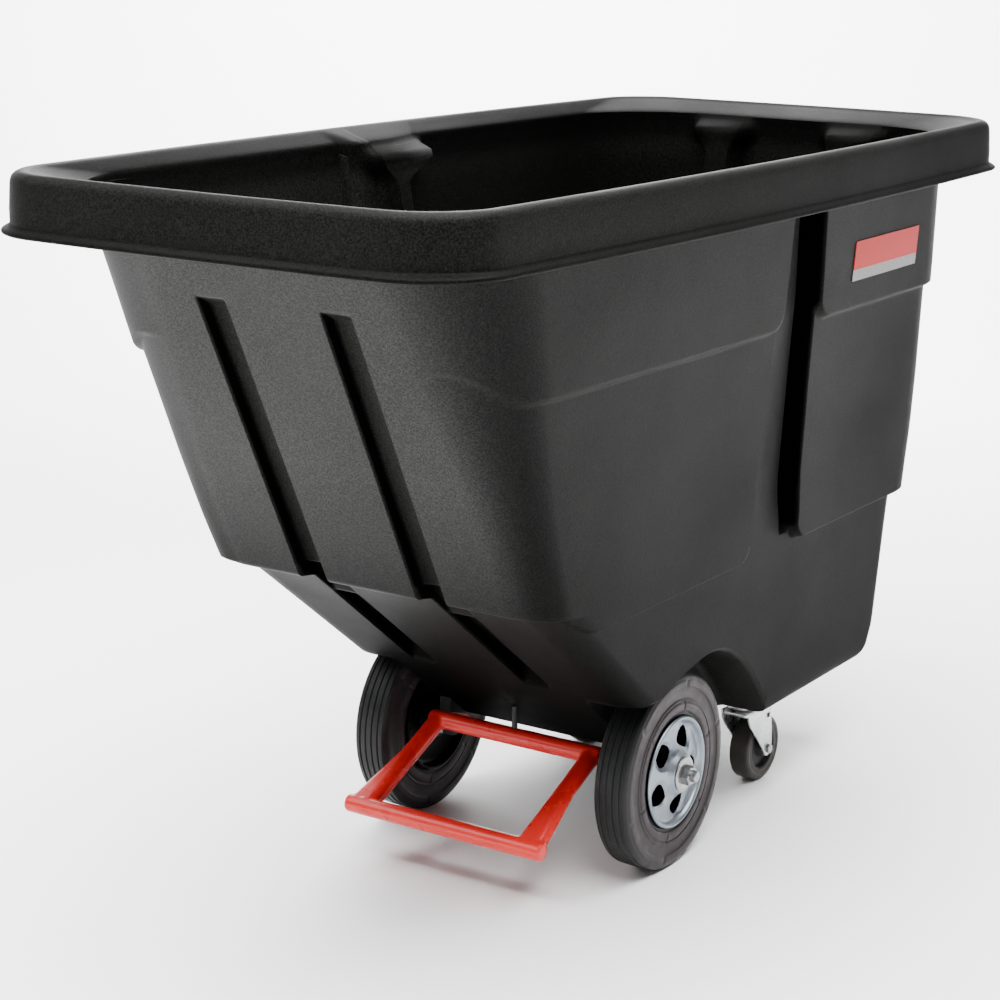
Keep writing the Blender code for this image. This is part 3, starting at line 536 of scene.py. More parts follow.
def rim_band(outer_top, inner_top):
    """The rim from under its skirt, over the crest and down the flank inside it to the wall."""
    outer_z, inner_z = LEVEL_SPANS[-1][1], CAVITY_TOP[-1]
    ends = [(hopper_ring(outer_z, 0.0, side)[0], hopper_ring(inner_z, WALL, side)[0]) for side in (1, -1)]
    levels = [outer_top]
    for i, (offset, drop, corner) in enumerate(RIM):
        share = smooth((i - LIP_LEVEL) / (len(RIM) - 1 - LIP_LEVEL))
        ring = whole(*(rim_ring(offset, drop, corner, low + (high - low) * share) for low, high in ends))
        levels.append((ring, rim_light(ring, offset, drop)))
    crest, wall = levels[-1][0], inner_top[0]
    for share, drop in FLANK:
        ring = wall + (crest - wall) * share
        ring[:, 2] = HEIGHT - drop
        # Painted shade down the inner flank, darkest at the wall.
        levels.append((ring, np.full(len(ring), 0.1 + 0.16 * share)))
    return levels + [inner_top]


def add_hopper(material):
    rows = level_rows()
    inner_rows = [z for i, z in enumerate(rows) if z > 0.166 and (i % 2 == 0 or z > 0.842)]
    inner_rows = CAVITY_FOOT + inner_rows + CAVITY_TOP
    outer = [hopper_level(z, 0.0) for z in rows]
    inner = [hopper_level(z, WALL) for z in inner_rows]
    rim = rim_band(outer[-1], inner[-1])
    cutters = [well_cutter(sign, 0.0) for _, sign in SIDES]
    grown = [well_cutter(sign, WALL) for _, sign in SIDES]

    (shell_rings, shell_lights), (cavity_rings, cavity_lights) = zip(*outer), zip(*inner)
    rim_rings, rim_lights = zip(*rim)
    shell = closed_grid("outer", shell_rings, light=np.concatenate(shell_lights))
    cavity = closed_grid("inner", cavity_rings, light=np.concatenate(cavity_lights))
    band = mesh_from("rim", np.concatenate(rim_rings), grid_faces(len(rim_rings), len(rim_rings[0])))
    set_light(band, np.concatenate(rim_lights))
    outside, inside = subtract(shell, cutters), subtract(cavity, grown)
    joined = pooled([(outside, rows[-1], False), (inside, inner_rows[-1], True), (band, None, False)])
    bm = bmesh.new()
    bm.from_mesh(joined)
    bmesh.ops.remove_doubles(bm, verts=bm.verts, dist=2e-5)
    bmesh.ops.triangulate(bm, faces=[f for f in bm.faces if len(f.verts) > 4])
    mesh = bpy.data.meshes.new("hopper_shell")
    bm.to_mesh(mesh)
    bm.free()
    mesh.shade_smooth()
    mesh.set_sharp_from_angle(angle=radians(48))
    new_object("hopper_shell", mesh, "chassis", "hopper_plastic", material, ["hopper"])


# Materials ------------

def srgb(*values):
    """Linear colour from 0-255 display values."""
    out = []
    for v in values:
        v /= 255
        out.append(v / 12.92 if v <= 0.04045 else ((v + 0.055) / 1.055) ** 2.4)
    return (*out, 1.0)


class Paint:
    """A material being put together: short names for the nodes every surface here uses."""

    def __init__(self, name):
        self.material = bpy.data.materials.new(name)
        self.material.use_nodes = True
        self.nodes = self.material.node_tree.nodes
        self.links = self.material.node_tree.links
        self.shader = self.nodes["Principled BSDF"]
        self.where = self.nodes.new("ShaderNodeTexCoord").outputs["Object"]

    def noise(self, scale, detail=3.0, rough=0.5, stretch=None):
        node = self.nodes.new("ShaderNodeTexNoise")
        node.inputs["Scale"].default_value = scale
        node.inputs["Detail"].default_value = detail
        node.inputs["Roughness"].default_value = rough
        source = self.where
        if stretch:
            mapping = self.nodes.new("ShaderNodeMapping")
            mapping.inputs["Scale"].default_value = stretch
            self.links.new(source, mapping.inputs["Vector"])
            source = mapping.outputs["Vector"]
        self.links.new(source, node.inputs["Vector"])
        return node.outputs["Fac"]

    def ramp(self, value, stops):
        node = self.nodes.new("ShaderNodeValToRGB")
        marks = node.color_ramp.elements
        for i, (at, colour) in enumerate(stops):
            mark = marks[i] if i < 2 else marks.new(at)
            mark.position = at
            mark.color = colour
        self.links.new(value, node.inputs["Fac"])
        return node.outputs["Color"]

    def span(self, value, low, high, out_low, out_high):
        node = self.nodes.new("ShaderNodeMapRange")
        for key, number in (("From Min", low), ("From Max", high), ("To Min", out_low), ("To Max", out_high)):
            node.inputs[key].default_value = number
        self.links.new(value, node.inputs["Value"])
        return node.outputs["Result"]

    def mix(self, factor, a, b):
        node = self.nodes.new("ShaderNodeMix")
        node.data_type = "RGBA"
        self.links.new(factor, node.inputs[0])
        for socket, value in ((node.inputs[6], a), (node.inputs[7], b)):
            if isinstance(value, tuple):
                socket.default_value = value
            else:
                self.links.new(value, socket)
        return node.outputs[2]

    def bump(self, layers):
        """Stacked bumps, each (height, strength, distance)."""
        normal = None
        for height, strength, distance in layers:
            node = self.nodes.new("ShaderNodeBump")
            node.inputs["Strength"].default_value = strength
            node.inputs["Distance"].default_value = distance
            self.links.new(height, node.inputs["Height"])
            if normal:
                self.links.new(normal, node.inputs["Normal"])
            normal = node.outputs["Normal"]
        self.links.new(normal, self.shader.inputs["Normal"])

    def colour(self, output):
        self.links.new(output, self.shader.inputs["Base Color"])

    def rough(self, output):
        self.links.new(output, self.shader.inputs["Roughness"])

    def set(self, **values):
        for key, value in values.items():
            self.shader.inputs[key.replace("_", " ")].default_value = value

    def attribute(self, name):
        node = self.nodes.new("ShaderNodeAttribute")
        node.attribute_name = name
        return node.outputs["Fac"]

    def edge_highlight(self, low, high):
        """Where a highlight is painted: 1 on edges that stand out, 0 elsewhere."""
        node = self.nodes.new("ShaderNodeNewGeometry")
        return self.span(node.outputs["Pointiness"], low, high, 0.0, 1.0)


def plastic_material():
    """Pebbled black plastic with painted shade: darker and less shiny where the piece's light value is low."""
    p = Paint("dark_moulded_plastic")
    cloud = p.noise(5.0, 4.0, 0.55)
    grain = p.noise(430.0, 2.0, 0.75)
    pebble = p.noise(210.0, 3.0, 0.6)
    scuff = p.noise(70.0, 5.0, 0.7, (1.0, 1.0, 0.22))
    base = p.ramp(cloud, [(0.3, srgb(20, 20, 20)), (0.7, srgb(25, 25, 24))])
    speck = p.ramp(grain, [(0.41, srgb(4, 4, 5)), (0.6, srgb(48, 48, 45))])
    blend = p.mix(p.span(pebble, 0.35, 0.65, 0.45, 0.75), base, speck)
    mark = p.span(scuff, 0.68, 0.8, 0.0, 0.16)
    worn = p.mix(mark, blend, srgb(52, 51, 49))
    # Painted shade: colour falls to near black and shine to none where the light value is low.
    light = p.attribute("light")
    p.colour(p.mix(light, srgb(1, 1, 1), worn))
    p.rough(p.span(cloud, 0.3, 0.7, 0.46, 0.56))
    p.links.new(p.span(light, 0.0, 1.0, 0.0, 0.12), p.shader.inputs["Specular IOR Level"])
    p.bump([(grain, 0.22, 0.001), (pebble, 0.12, 0.0016)])
    return p.material


def rubber_material(name, dark, light, scale, wall=None):
    """Rubber, with its own colour on the sidewalls if one is given; the piece's light value blends that colour
    in, so the sidewalls carry painted shade and painted highlights.
    """
    p = Paint(name)
    cloud = p.noise(18.0, 4.0, 0.6)
    dust = p.noise(scale, 4.0, 0.65)
    grain = p.noise(700.0, 2.0, 0.6)
    base = p.ramp(cloud, [(0.3, dark), (0.72, light)])
    if wall:
        tinted = p.ramp(dust, [(0.35, wall), (0.65, tuple(v * 1.4 for v in wall[:3]) + (1.0,))])
        # Painted light: a low light value keeps the darker rubber, a high one brings in the lighter sidewall
        # colour.
        base = p.mix(p.attribute("light"), base, tinted)
    p.colour(p.mix(p.span(dust, 0.6, 0.85, 0.0, 0.22), base, srgb(84, 76, 74)))
    p.rough(p.span(dust, 0.3, 0.7, 0.38, 0.6))
    p.bump([(grain, 0.2, 0.0006), (dust, 0.12, 0.001)])
    p.set(Specular_IOR_Level=0.25)
    return p.material


def red_material():
    p = Paint("red_painted_steel")
    cloud = p.noise(14.0, 3.0, 0.5)
    peel = p.noise(420.0, 2.0, 0.5)
    chip = p.noise(260.0, 4.0, 0.65)
    base = p.ramp(cloud, [(0.3, srgb(198, 30, 26)), (0.72, srgb(214, 42, 34))])
    # Painted highlight: edges that stand out turn a lighter red.
    edge = p.edge_highlight(0.56, 0.66)
    worn = p.mix(p.span(chip, 0.7, 0.78, 0.0, 0.45), base, srgb(150, 48, 38))
    p.colour(p.mix(p.span(edge, 0.0, 1.0, 0.0, 0.2), worn, srgb(224, 84, 70)))
    p.rough(p.span(cloud, 0.3, 0.7, 0.24, 0.34))
    p.bump([(peel, 0.08, 0.0005)])
    p.set(Specular_IOR_Level=0.4)
    return p.material


def metal_material(name, dark, light, rough_low, rough_high, shaded=False):
    """Steel or zinc; a shaded one is dark wherever its piece has no light value."""
    p = Paint(name)
    cloud = p.noise(30.0, 4.0, 0.6)
    grain = p.noise(500.0, 3.0, 0.6)
    stain = p.noise(120.0, 5.0, 0.7)
    base = p.ramp(cloud, [(0.3, dark), (0.7, light)])
    soiled = tuple(v * 0.45 for v in dark[:3]) + (1.0,)
    base = p.mix(p.span(stain, 0.58, 0.82, 0.0, 0.5), base, soiled)
    if shaded:
        base = p.mix(p.attribute("light"), srgb(14, 13, 15), base)
    p.colour(base)
    p.rough(p.span(stain, 0.3, 0.7, rough_low, rough_high))
    p.bump([(grain, 0.1, 0.0004), (stain, 0.08, 0.0006)])
    p.set(Metallic=1.0)
    return p.material


def label_material():
    """A printed label: a red field over a pale strip, split across its local height."""
    p = Paint("printed_label")
    split = p.nodes.new("ShaderNodeSeparateXYZ")
    p.links.new(p.where, split.inputs["Vector"])
    ink = p.noise(240.0, 3.0, 0.6)
    upper = p.ramp(ink, [(0.35, srgb(168, 20, 20)), (0.7, srgb(186, 30, 26))])
    lower = p.ramp(ink, [(0.35, srgb(118, 118, 118)), (0.7, srgb(140, 140, 138))])
    field = p.span(split.outputs["Z"], 0.7915, 0.7922, 0.0, 1.0)
    p.colour(p.mix(field, lower, upper))
    p.rough(p.span(ink, 0.3, 0.7, 0.4, 0.52))
    p.bump([(ink, 0.08, 0.0003)])
    p.set(Specular_IOR_Level=0.15)
    return p.material


def floor_material(name, tone):
    p = Paint(name)
    cloud = p.noise(1.2, 3.0, 0.5)
    grain = p.noise(350.0, 2.0, 0.5)
    p.colour(p.ramp(cloud, [(0.3, srgb(tone, tone, tone)), (0.7, srgb(tone + 2, tone + 2, tone + 2))]))
    p.rough(p.span(grain, 0.3, 0.7, 0.62, 0.74))
    p.bump([(grain, 0.02, 0.0003)])
    p.set(Specular_IOR_Level=0.25)
    return p.material


# Turned and built pieces ------------

WHEEL_X, AXLE_Y, WHEEL_R = 0.1955, -0.033, 0.1365


def lathe(name, profile, segments, shape=None, sharp=32):
    """Turn a closed (radius, along) profile around the X axis; shape may nudge a point by its angle."""
    rings = []
    for i in range(segments):
        a = tau * i / segments
        ring = []
        for r, along in profile:
            if shape:
                r, along = shape(r, along, a)
            ring.append((along, r * cos(a), r * sin(a)))
        rings.append(ring)
    count = len(profile)
    verts = [v for ring in rings for v in ring]
    faces = []
    for i in range(segments):
        a, b = i * count, (i + 1) % segments * count
        for k in range(count):
            m = (k + 1) % count
            faces.append((a + k, a + m, b + m, b + k))
    mesh = mesh_from(name, verts, faces)
    turn_faces_out(mesh)
    mesh.shade_smooth()
    mesh.set_sharp_from_angle(angle=radians(sharp))
    return mesh


def rounded(points, radius, steps=3):
    """A closed outline with its corners rounded off by up to the radius."""
    out = []
    count = len(points)
    for i in range(count):
        p, a, b = (Vector(points[k % count]) for k in (i, i - 1, i + 1))
        da, db = (a - p), (b - p)
        cut = min(radius, da.length * 0.45, db.length * 0.45)
        start, end = p + da.normalized() * cut, p + db.normalized() * cut
        for k in range(steps + 1):
            t = k / steps
            out.append(tuple(start * (1 - t) ** 2 + p * 2 * t * (1 - t) + end * t * t))
    return out


def half_tread(half_width, radius, grooves, groove_width, groove_depth):
    """Points (radius, along) across a tread from one shoulder to the other."""
    points = []
    for i in range(97):
        x = -half_width + 2 * half_width * i / 96
        crown = radius - 0.001 * (x / half_width) ** 2
        cut = sum(exp(-((x - g) / groove_width) ** 4) for g in grooves)
        points.append((crown - groove_depth * min(cut, 1.0), x))
    return points


# Radius and painted light across a sidewall: dark with painted shade at the shoulder and in the grooves,
# lighter with a painted highlight on the raised rings
SIDEWALL_PAINTED_LIGHT = np.array([
    (0.076, 0.35), (0.084, 0.45), (0.087, 1.0), (0.096, 1.0), (0.1, 0.55), (0.108, 0.75),
    (0.1165, 0.5), (0.1185, 1.0), (0.124, 1.0), (0.1262, 0.35), (0.129, 0.45), (0.133, 0.15),
])
SIDEWALL_X = 0.0225


def wall_light(point):
    if abs(point.x) < SIDEWALL_X:
        return 0.0
    radius = hypot(point.y, point.z)
    return float(np.interp(radius, SIDEWALL_PAINTED_LIGHT[:, 0], SIDEWALL_PAINTED_LIGHT[:, 1]))


def tyre_mesh():
    """The main tyre: a sidewall from its shoulder in to its bead, mirrored, with the ribbed tread between."""
    side = [
        (0.1345, 0.0224), (0.1325, 0.0243), (0.13, 0.0252), (0.1275, 0.0256), (0.1266, 0.0263),
        (0.1248, 0.0265), (0.1196, 0.0265), (0.1182, 0.0262), (0.1174, 0.025), (0.116, 0.0243),
        (0.108, 0.024), (0.102, 0.0243), (0.101, 0.0252), (0.0996, 0.0256), (0.0984, 0.0252),
        (0.0976, 0.0245), (0.0966, 0.0247), (0.0955, 0.0258), (0.094, 0.0263), (0.088, 0.0262),
        (0.085, 0.0258), (0.0835, 0.0248), (0.0826, 0.0236), (0.08, 0.0232), (0.0788, 0.0228),
        (0.078, 0.022), (0.0749, 0.0215),
    ]
    tread = half_tread(0.0215, WHEEL_R, (-0.0148, -0.005, 0.005, 0.0148), 0.0012, 0.0018)
    profile = [(r, -x) for r, x in reversed(side)] + tread + side
    notches = [radians(a) for a in (18, 78, 138, 198, 258, 318)]

    def shape(r, along, a):
        if 0.0985 > r > 0.085 or 0.1275 > r > 0.1175:
            near = min(abs((a - n + pi) % tau - pi) for n in notches)
            if near * r < 0.0022 and abs(along) > SIDEWALL_X:
                along = copysign(abs(along) - 0.0014, along)
        return r, along

    mesh = lathe("tyre", profile, 288, shape=shape)
    # Painted light on the sidewalls from the table above; the tread gets none.
    set_light(mesh, [wall_light(v.co) for v in mesh.vertices])
    return mesh


# Both discs of a wheel end in the same flange, which holds the tyre's bead
FLANGE = [
    (0.0736, 0.0287), (0.0752, 0.029), (0.0766, 0.0285), (0.0775, 0.0272), (0.0778, 0.0256), (0.077, 0.0247),
    (0.0742, 0.0244), (0.0742, 0.001), (0.0718, 0.001),
]
# Hub face, web and flange, and back again on the inner face
OUTER_DISC = [
    (0.0137, 0.0375), (0.025, 0.0375), (0.0262, 0.0371), (0.0272, 0.036), (0.03, 0.0318), (0.0315, 0.0301),
    (0.0335, 0.0288), (0.037, 0.0278), (0.041, 0.0267), (0.045, 0.0257), (0.049, 0.0248), (0.053, 0.024),
    (0.057, 0.0232), (0.061, 0.0226), (0.064, 0.0221), (0.0665, 0.0218), (0.0685, 0.022), (0.07, 0.023),
    (0.0712, 0.0254), (0.0722, 0.0274), *FLANGE, (0.07, 0.019), (0.064, 0.0197), (0.057, 0.0207),
    (0.049, 0.0222), (0.041, 0.0241), (0.0318, 0.0265), (0.025, 0.035), (0.0137, 0.035),
]
INNER_DISC = [
    (0.0137, 0.0285), (0.0255, 0.0285), (0.0272, 0.028), (0.0286, 0.0266), (0.0318, 0.0192), (0.033, 0.0172),
    (0.035, 0.0162), (0.038, 0.016), (0.05, 0.0166), (0.064, 0.016), (0.0672, 0.0163), (0.069, 0.0172),
    (0.0704, 0.0195), (0.0714, 0.0245), (0.0722, 0.0272), *FLANGE, (0.07, 0.0135), (0.0318, 0.0135),
    (0.025, 0.026), (0.0137, 0.026),
]
# Around a window: distance from the wheel's middle, and sideways from the window's own middle line
WINDOW = [
    (0.0362, -0.006), (0.0374, -0.013), (0.043, -0.0166), (0.052, -0.0144), (0.061, -0.008),
    (0.065, 0.0), (0.061, 0.008), (0.052, 0.0144), (0.043, 0.0166), (0.0374, 0.013), (0.0362, 0.006),
]
WINDOWS = 5
WINDOW_START = radians(64)
WINDOW_TURN = tau / WINDOWS


def window_cutter(turn):
    """A rounded window straight through the wheel disc."""
    curve = smooth_curve(WINDOW + WINDOW[:1], 49)[:-1]
    c, s = cos(turn), sin(turn)
    rings = []
    for along in (-0.005, 0.045):
        rings.append(np.array([(along, r * c - t * s, r * s + t * c) for r, t in curve]))
    return closed_grid("window", rings)


def disc_mesh(profile, windows):
    """A pressed disc whose spokes roll inward along the edges of the windows."""
    edge = smooth_curve(WINDOW + WINDOW[:1], 49)[:-1]

    def rolled(r, along, a):
        if not (windows and 0.032 < r < 0.0695 and along > 0.012):
            return r, along
        local = (a - WINDOW_START + WINDOW_TURN / 2) % WINDOW_TURN - WINDOW_TURN / 2
        gap = np.min(np.hypot(edge[:, 0] - r * cos(local), edge[:, 1] - r * sin(local)))
        return r, along - 0.003 * exp(-(gap / 0.0032) ** 2)

    disc = lathe("disc", profile, 200, shape=rolled)
    cutters = [window_cutter(WINDOW_START + WINDOW_TURN * i) for i in range(windows)]
    mesh = subtract(disc, cutters) if cutters else disc
    mesh.shade_smooth()
    mesh.set_sharp_from_angle(angle=radians(36))
    return mesh


def placed(mesh, *matrices):
    """A copy of a mesh moved by each matrix in turn."""
    copy = mesh.copy()
    matrix = Matrix()
    for step in matrices:
        matrix = step @ matrix
    copy.transform(matrix)
    if matrix.determinant() < 0:
        copy.flip_normals()
    return copy


def add_wheels(looks):
    tyre = tyre_mesh()
    washer = lathe("washer", rounded([(0.0086, 0.0387), (0.0086, 0.0407), (0.019, 0.0407), (0.024, 0.0399),
                                      (0.025, 0.0387)], 0.0007), 64)
    mirror = Matrix.Scale(-1, 4, (1, 0, 0))
    bright = disc_mesh(OUTER_DISC, WINDOWS)
    inner_disc_shaded = disc_mesh(INNER_DISC, 0)
    # Painted shade: only the outer disc's outward face keeps its light; its other faces and the whole inner
    # disc are painted near black.
    set_light(bright, [1.0 if v.normal.x > 0.05 else 0.0 for v in bright.vertices])
    set_light(inner_disc_shaded, [0.0] * len(inner_disc_shaded.vertices))
    for side, sign in SIDES:
        hub = Matrix.Translation((sign * WHEEL_X, AXLE_Y, WHEEL_R))
        face = [] if sign > 0 else [mirror]
        back = [mirror] if sign > 0 else []
        body = "wheel_" + side
        pieces = [
            ("tyre_", "tyre_", [tyre], body, "tyre_rubber", "tyre"),
            ("disc_outer_", "wheel_disc_outer_", [bright, *face], body, "wheel_steel", "disc"),
            ("disc_inner_", "wheel_disc_inner_", [inner_disc_shaded, *back], body, "wheel_steel", "disc"),
            ("washer_", "washer_outer_", [washer, *face], "chassis", "zinc_steel", "zinc"),
        ]
        for name, node, made, rider, slot, look in pieces:
            mesh = placed(*made, hub)
            new_object("fine_" + name + side, mesh, rider, slot, looks[look], [node + side])


# Dump frame ------------

TUBE, RAIL_X = 0.0127, 0.126
FRONT_BAR = Vector((0, -0.268, 0.0837))
REAR_BAR = Vector((0, -0.095, 0.16))
FRONT_HALF, REAR_HALF = 0.157, 0.1387


def tube_between(start, end, radius, spans, caps=0.0018):
    """A closed round bar with eased ends and so many spans along it."""
    axis = (end - start).normalized()
    side = axis.orthogonal().normalized()
    other = axis.cross(side)
    length = (end - start).length
    stations = [(0, radius - caps), (caps, radius)] + [(length * i / spans, radius) for i in range(1, spans)]
    stations += [(length - caps, radius), (length, radius - caps)]
    rings = []
    for along, r in stations:
        ring = []
        for i in range(40):
            a = tau * i / 40
            ring.append(start + axis * along + (side * cos(a) + other * sin(a)) * r)
        rings.append(np.array([tuple(v) for v in ring]))
    return closed_grid("tube", rings)


def add_dump_frame(looks):
    """Two bars and two rails as one welded piece: joined, then eased where they meet."""
    bars = []
    for middle, half in ((FRONT_BAR, FRONT_HALF), (REAR_BAR, REAR_HALF)):
        reach = Vector((half, 0, 0))
        bars.append(tube_between(middle - reach, middle + reach, TUBE, 8))
    for sign in (-1, 1):
        shift = Vector((sign * RAIL_X, 0, 0))
        bars.append(tube_between(FRONT_BAR + shift, REAR_BAR + shift, TUBE, 8))
        # Gusset that widens each rail out to the front bar's end
        foot = FRONT_BAR + Vector((sign * (RAIL_X + 0.0165), 0, 0))
        bars.append(tube_between(foot, FRONT_BAR.lerp(REAR_BAR, 0.62) + shift, TUBE - 0.0006, 4))
    joined = scene_object("scratch_frame", joined_mesh("frame_parts", bars))
    weld = joined.modifiers.new("weld", "REMESH")
    weld.mode = "VOXEL"
    weld.voxel_size = 0.0019
    weld.use_smooth_shade = True
    ease = joined.modifiers.new("ease", "SMOOTH")
    ease.factor = 0.5
    ease.iterations = 9
    graph = bpy.context.evaluated_depsgraph_get()
    result = bpy.data.meshes.new_from_object(joined.evaluated_get(graph))
    bpy.data.objects.remove(joined)
    result.shade_smooth()
    bars = ["dump_frame_" + bar for bar in ("front_bar", "rear_bar", "rail_left", "rail_right")]
    new_object("fine_dump_frame", result, "chassis", "red_paint", looks["red"], bars)


# Casters ------------

CASTER_X, CASTER_Y, CASTER_TRAIL, CASTER_R = 0.152, 0.295, 0.043, 0.0508
CASTER_YAW = {"right": radians(-2), "left": radians(-25)}


def slab(outline, low, high, axis, bevel=0.0007):
    """A flat plate with eased edges: the outline runs across the other two axes."""
    curve = np.array(outline)
    ahead, behind = np.roll(curve, -1, axis=0), np.roll(curve, 1, axis=0)
    run = ahead - behind
    inward = np.stack([-run[:, 1], run[:, 0]], 1)
    inward /= np.linalg.norm(inward, axis=1)[:, None] + 1e-12
    area = np.sum(curve[:, 0] * ahead[:, 1] - curve[:, 1] * ahead[:, 0])
    inward *= 1 if area > 0 else -1
    rings = []
    for level, shrink in ((low, bevel), (low + bevel * 0.3, bevel * 0.3), (low + bevel, 0.0),
                          (high - bevel, 0.0), (high - bevel * 0.3, bevel * 0.3), (high, bevel)):
        ring = []
        for u, v in curve + inward * shrink:
            ring.append((level, u, v) if axis == "X" else (u, v, level))
        rings.append(np.array(ring))
    return closed_grid("slab", rings)


def caster_fork_mesh():
    """A crown plate and two legs that narrow to the wheel's bolt, with a thin raised plate on each leg painted
    near black as the shade of a slot.
    """
    outer, gap, eye = 0.0235, 0.0205, 0.0113
    leg = [(-0.018, 0.1213), (-0.0195, 0.112), (-0.012, 0.098), (0.012, 0.072), (0.028, 0.053)]
    for i in range(13):
        a = radians(205 + 150 * i / 12)
        leg.append((CASTER_TRAIL + eye * cos(a), CASTER_R + eye * sin(a)))
    leg += [(0.0555, 0.062), (0.053, 0.085), (0.05, 0.105), (0.049, 0.1213)]
    leg = rounded(leg, 0.004, 2)
    crown = rounded([(-outer, -0.0262), (outer, -0.0262), (outer, 0.05), (-outer, 0.05)], 0.009, 5)
    solids = [slab(crown, 0.1166, 0.1214, "Z")]
    for sign in (-1, 1):
        low, high = sorted((sign * gap, sign * outer))
        solids.append(slab(leg, low, high, "X"))
        # The thin plate for the slot, painted near black as its shade.
        low, high = sorted((sign * (outer - 0.0004), sign * (outer + 0.0006)))
        mark = [(0.0375, 0.101), (0.0445, 0.101), (0.0445, 0.1085), (0.0375, 0.1085)]
        solids.append(slab(rounded(mark, 0.001, 2), low, high, "X", 0.0002))
    mesh = joined_mesh("fork", solids)
    # Painted shade: the slot plates get no light value, the rest full light.
    set_light(mesh, [0.0 if abs(v.co.x) > outer + 0.0001 else 1.0 for v in mesh.vertices])
    mesh.shade_smooth()
    mesh.set_sharp_from_angle(angle=radians(38))
    return mesh


def add_casters(looks):
    tread = half_tread(0.0105, CASTER_R, (), 1.0, 0.0)
    side = [(0.05, 0.0128), (0.0488, 0.0146), (0.047, 0.0156), (0.044, 0.016), (0.042, 0.016),
            (0.0414, 0.0154), (0.04, 0.0151), (0.038, 0.0152), (0.035, 0.0152), (0.033, 0.0148)]
    profile = [(r, -x) for r, x in reversed(side)] + tread[8:-8:4] + side
    tyre = lathe("caster_tyre", profile, 144, sharp=50)
    half = [(0.0066, 0.019), (0.0115, 0.019), (0.0122, 0.0184), (0.0135, 0.013), (0.015, 0.0092),
            (0.018, 0.0078), (0.027, 0.0072), (0.0292, 0.0078), (0.0304, 0.0105), (0.0311, 0.0138),
            (0.0318, 0.0143), (0.0327, 0.014)]
    core = lathe("caster_core", half + [(r, -x) for r, x in reversed(half)], 96)
    fork = caster_fork_mesh()
    for side_name, sign in SIDES:
        turn = Matrix.Rotation(CASTER_YAW[side_name], 4, "Z")
        stand = Matrix.Translation((sign * CASTER_X, CASTER_Y, 0)) @ turn
        hub = stand @ Matrix.Translation((0, CASTER_TRAIL, CASTER_R))
        swivel, wheel = "caster_swivel_" + side_name, "caster_wheel_" + side_name
        pieces = [
            ("caster_fork_", "fine_fork_", placed(fork, stand), swivel, "zinc_steel", "fork"),
            ("caster_tyre_", "fine_caster_tyre_", placed(tyre, hub), wheel, "caster_rubber", "grey"),
            ("caster_core_", "fine_caster_core_", placed(core, hub), wheel, "block_nylon", "black"),
        ]
        for node, name, mesh, body, slot, look in pieces:
            new_object(name + side_name, mesh, body, slot, looks[look], [node + side_name])


# Label ------------

LABEL_Y, LABEL_Z = (0.285, 0.505), (0.776, 0.832)


def outer_side_x(y, z):
    """The right side's surface at the rear upper panel."""
    start = END_POINTS + CORNER_POINTS
    flat = hopper_ring(z, 0.0)[0][start:start + SIDE_POINTS]
    return np.interp(y, flat[:, 1], flat[:, 0])


def add_label(looks):
    """A thin plate that follows the side it is stuck to."""
    columns, rows, gap, thick = 25, 9, 0.0003, 0.0009
    rings = []
    for c in range(columns):
        y = LABEL_Y[0] + (LABEL_Y[1] - LABEL_Y[0]) * c / (columns - 1)
        heights = [LABEL_Z[0] + (LABEL_Z[1] - LABEL_Z[0]) * r / (rows - 1) for r in range(rows)]
        far = [(outer_side_x(y, z) + gap, y, z) for z in heights]
        near = [(x + thick, y, z) for x, y, z in far]
        rings.append(np.array(near + far[::-1]))
    mesh = closed_grid("label", rings)
    mesh.set_sharp_from_angle(angle=radians(40))
    new_object("fine_label", mesh, "chassis", "label", looks["label"], ["label_plate"])


# Stage ------------

EYE = Vector((1.6731, -2.7381, 1.2854))
EYE_AZIMUTH, EYE_ELEVATION, EYE_ROLL = 32.79, 14.15, 0.858
LENS = 86.12


def add_camera():
    a, e, roll = (radians(v) for v in (EYE_AZIMUTH, EYE_ELEVATION, EYE_ROLL))
    back = Vector((sin(a) * cos(e), -cos(a) * cos(e), sin(e)))
    right = Vector((0, 0, 1)).cross(back).normalized()
    up = back.cross(right)
    turned_right = right * cos(roll) + up * sin(roll)
    turned_up = up * cos(roll) - right * sin(roll)
    matrix = Matrix((turned_right, turned_up, back)).transposed().to_4x4()
    matrix.translation = EYE
    data = bpy.data.cameras.new("photo_view")
    data.lens = LENS
    data.sensor_width = 36
    data.clip_end = 100
    camera = scene_object("photo_view", data)
    camera.matrix_world = matrix
    bpy.context.scene.camera = camera


def add_light(name, size, energy, where, aim):
    data = bpy.data.lights.new(name, "AREA")
    data.shape = "RECTANGLE"
    data.size = size
    data.size_y = size
    data.energy = energy
    light = scene_object(name, data)
    light.location = where
    light.rotation_euler = (Vector(aim) - Vector(where)).to_track_quat("-Z", "Y").to_euler()


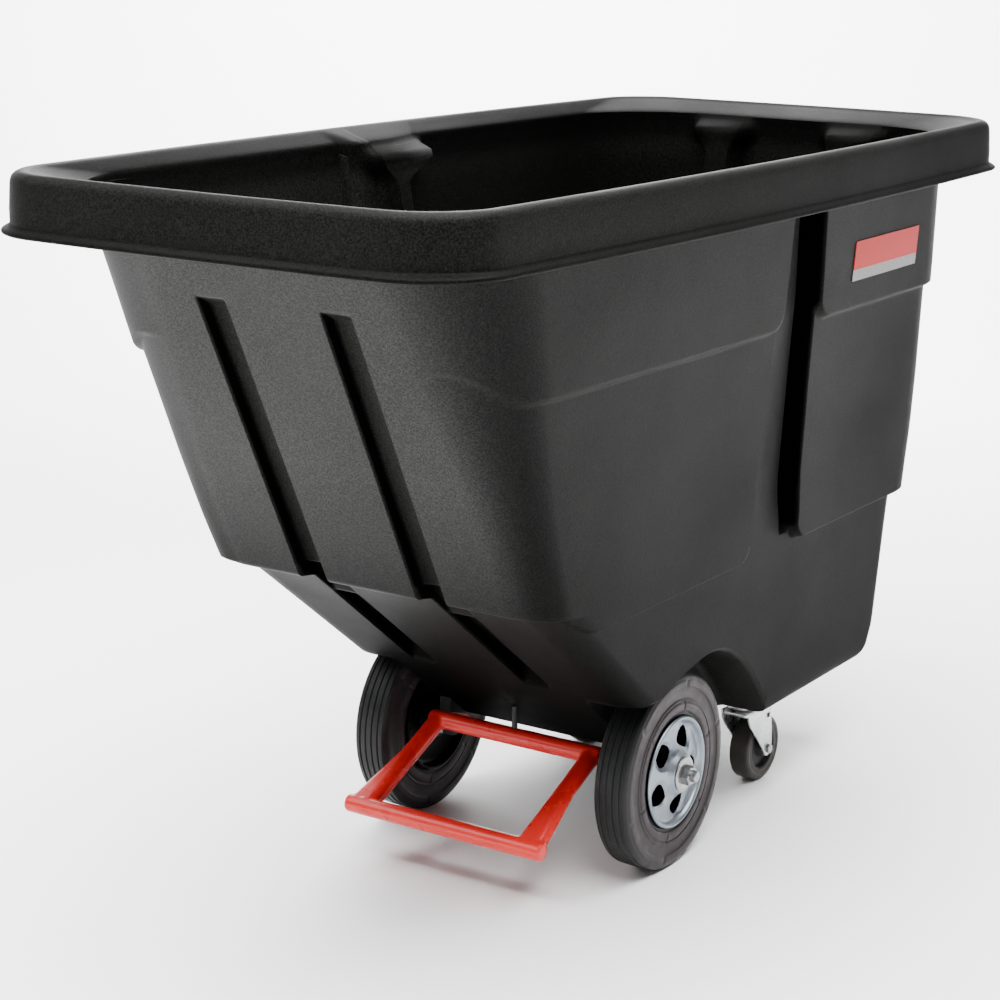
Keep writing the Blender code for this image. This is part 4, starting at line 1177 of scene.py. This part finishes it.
def add_stage():
    """A pale floor that sweeps up behind the truck, and the soft lights over it."""
    reach, near, bend, bend_steps = 9.0, -8.0, 2.0, 12
    profile = [(near + i, 0.0) for i in range(12)]
    last = profile[-1][0]
    for k in range(1, bend_steps + 1):
        a = pi / 2 * k / bend_steps
        profile.append((last + bend * sin(a), bend * (1 - cos(a))))
    profile += [(profile[-1][0], bend + k) for k in range(1, 6)]
    turn = Matrix.Rotation(radians(EYE_AZIMUTH), 4, "Z")
    verts, count = [], 13
    for y, z in profile:
        for i in range(count):
            verts.append(turn @ Vector((-reach + 2 * reach * i / (count - 1), y, z)))
    faces = []
    for r in range(len(profile) - 1):
        for i in range(count - 1):
            a = r * count + i
            faces.append((a, a + 1, a + count + 1, a + count))
    mesh = mesh_from("floor_sweep", verts, faces)
    floor = scene_object("floor_sweep", mesh)
    mesh.materials.append(floor_material("pale_floor", 248))
    world = bpy.data.worlds.new("studio")
    world.use_nodes = True
    sky = world.node_tree.nodes["Background"].inputs
    sky["Color"].default_value = (1, 1, 1, 1)
    sky["Strength"].default_value = 0.22
    bpy.context.scene.world = world
    add_light("overhead", 5.0, 1250.0, (0.0, -0.6, 4.2), (0, -0.4, 0))
    add_light("key", 2.0, 60.0, (-2.2, -2.6, 3.0), (0, 0, 0.6))
    add_light("back_wash", 4.0, 800.0, (-2.0, 3.2, 3.6), (-3.0, 6.5, 1.4))


def all_looks():
    return {
        "plastic": plastic_material(),
        "red": red_material(),
        "tyre": rubber_material("tyre_rubber", srgb(7, 9, 9), srgb(13, 15, 15), 60.0, srgb(38, 31, 34)),
        "grey": rubber_material("caster_rubber", srgb(36, 38, 35), srgb(54, 47, 42), 90.0),
        "disc": metal_material("silver_wheel_steel", srgb(118, 126, 134), srgb(146, 154, 161), 0.32, 0.48,
                               shaded=True),
        "zinc": metal_material("zinc_plated_steel", srgb(138, 140, 142), srgb(168, 168, 166), 0.24, 0.42),
        "fork": metal_material("bright_zinc_fork", srgb(172, 176, 178), srgb(200, 202, 200), 0.22, 0.38,
                               shaded=True),
        "bearing": metal_material("bearing_steel", srgb(110, 108, 104), srgb(138, 134, 128), 0.26, 0.44),
        "black": rubber_material("block_nylon", srgb(28, 28, 30), srgb(36, 36, 38), 120.0),
        "label": label_material(),
    }


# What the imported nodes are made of, by how their names start; the rest are zinc plated
NODE_LOOKS = [
    ("dump_frame_stud", "black"), ("dump_frame", "red"), ("tyre_", "tyre"), ("caster_tyre", "grey"),
    ("caster_core", "black"), ("caster_bush", "bearing"), ("roller_bearing", "bearing"),
    # The hub sleeve takes the shaded disc steel and, having no light value, comes out near black in painted
    # shade.
    ("hub_sleeve", "disc"), ("axle_block_bolt", "zinc"), ("axle_block", "black"), ("axle_spacer", "black"),
]


def main():
    looks = all_looks()
    add_hopper(looks["plastic"])
    for add in (add_wheels, add_dump_frame, add_casters, add_label):
        add(looks)
    for name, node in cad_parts.items():
        look = next((look for start, look in NODE_LOOKS if name.startswith(start)), "zinc")
        if getattr(node, "type", None) == "MESH":
            node.data.materials.clear()
            node.data.materials.append(looks[look])
    add_stage()
    add_camera()


main()
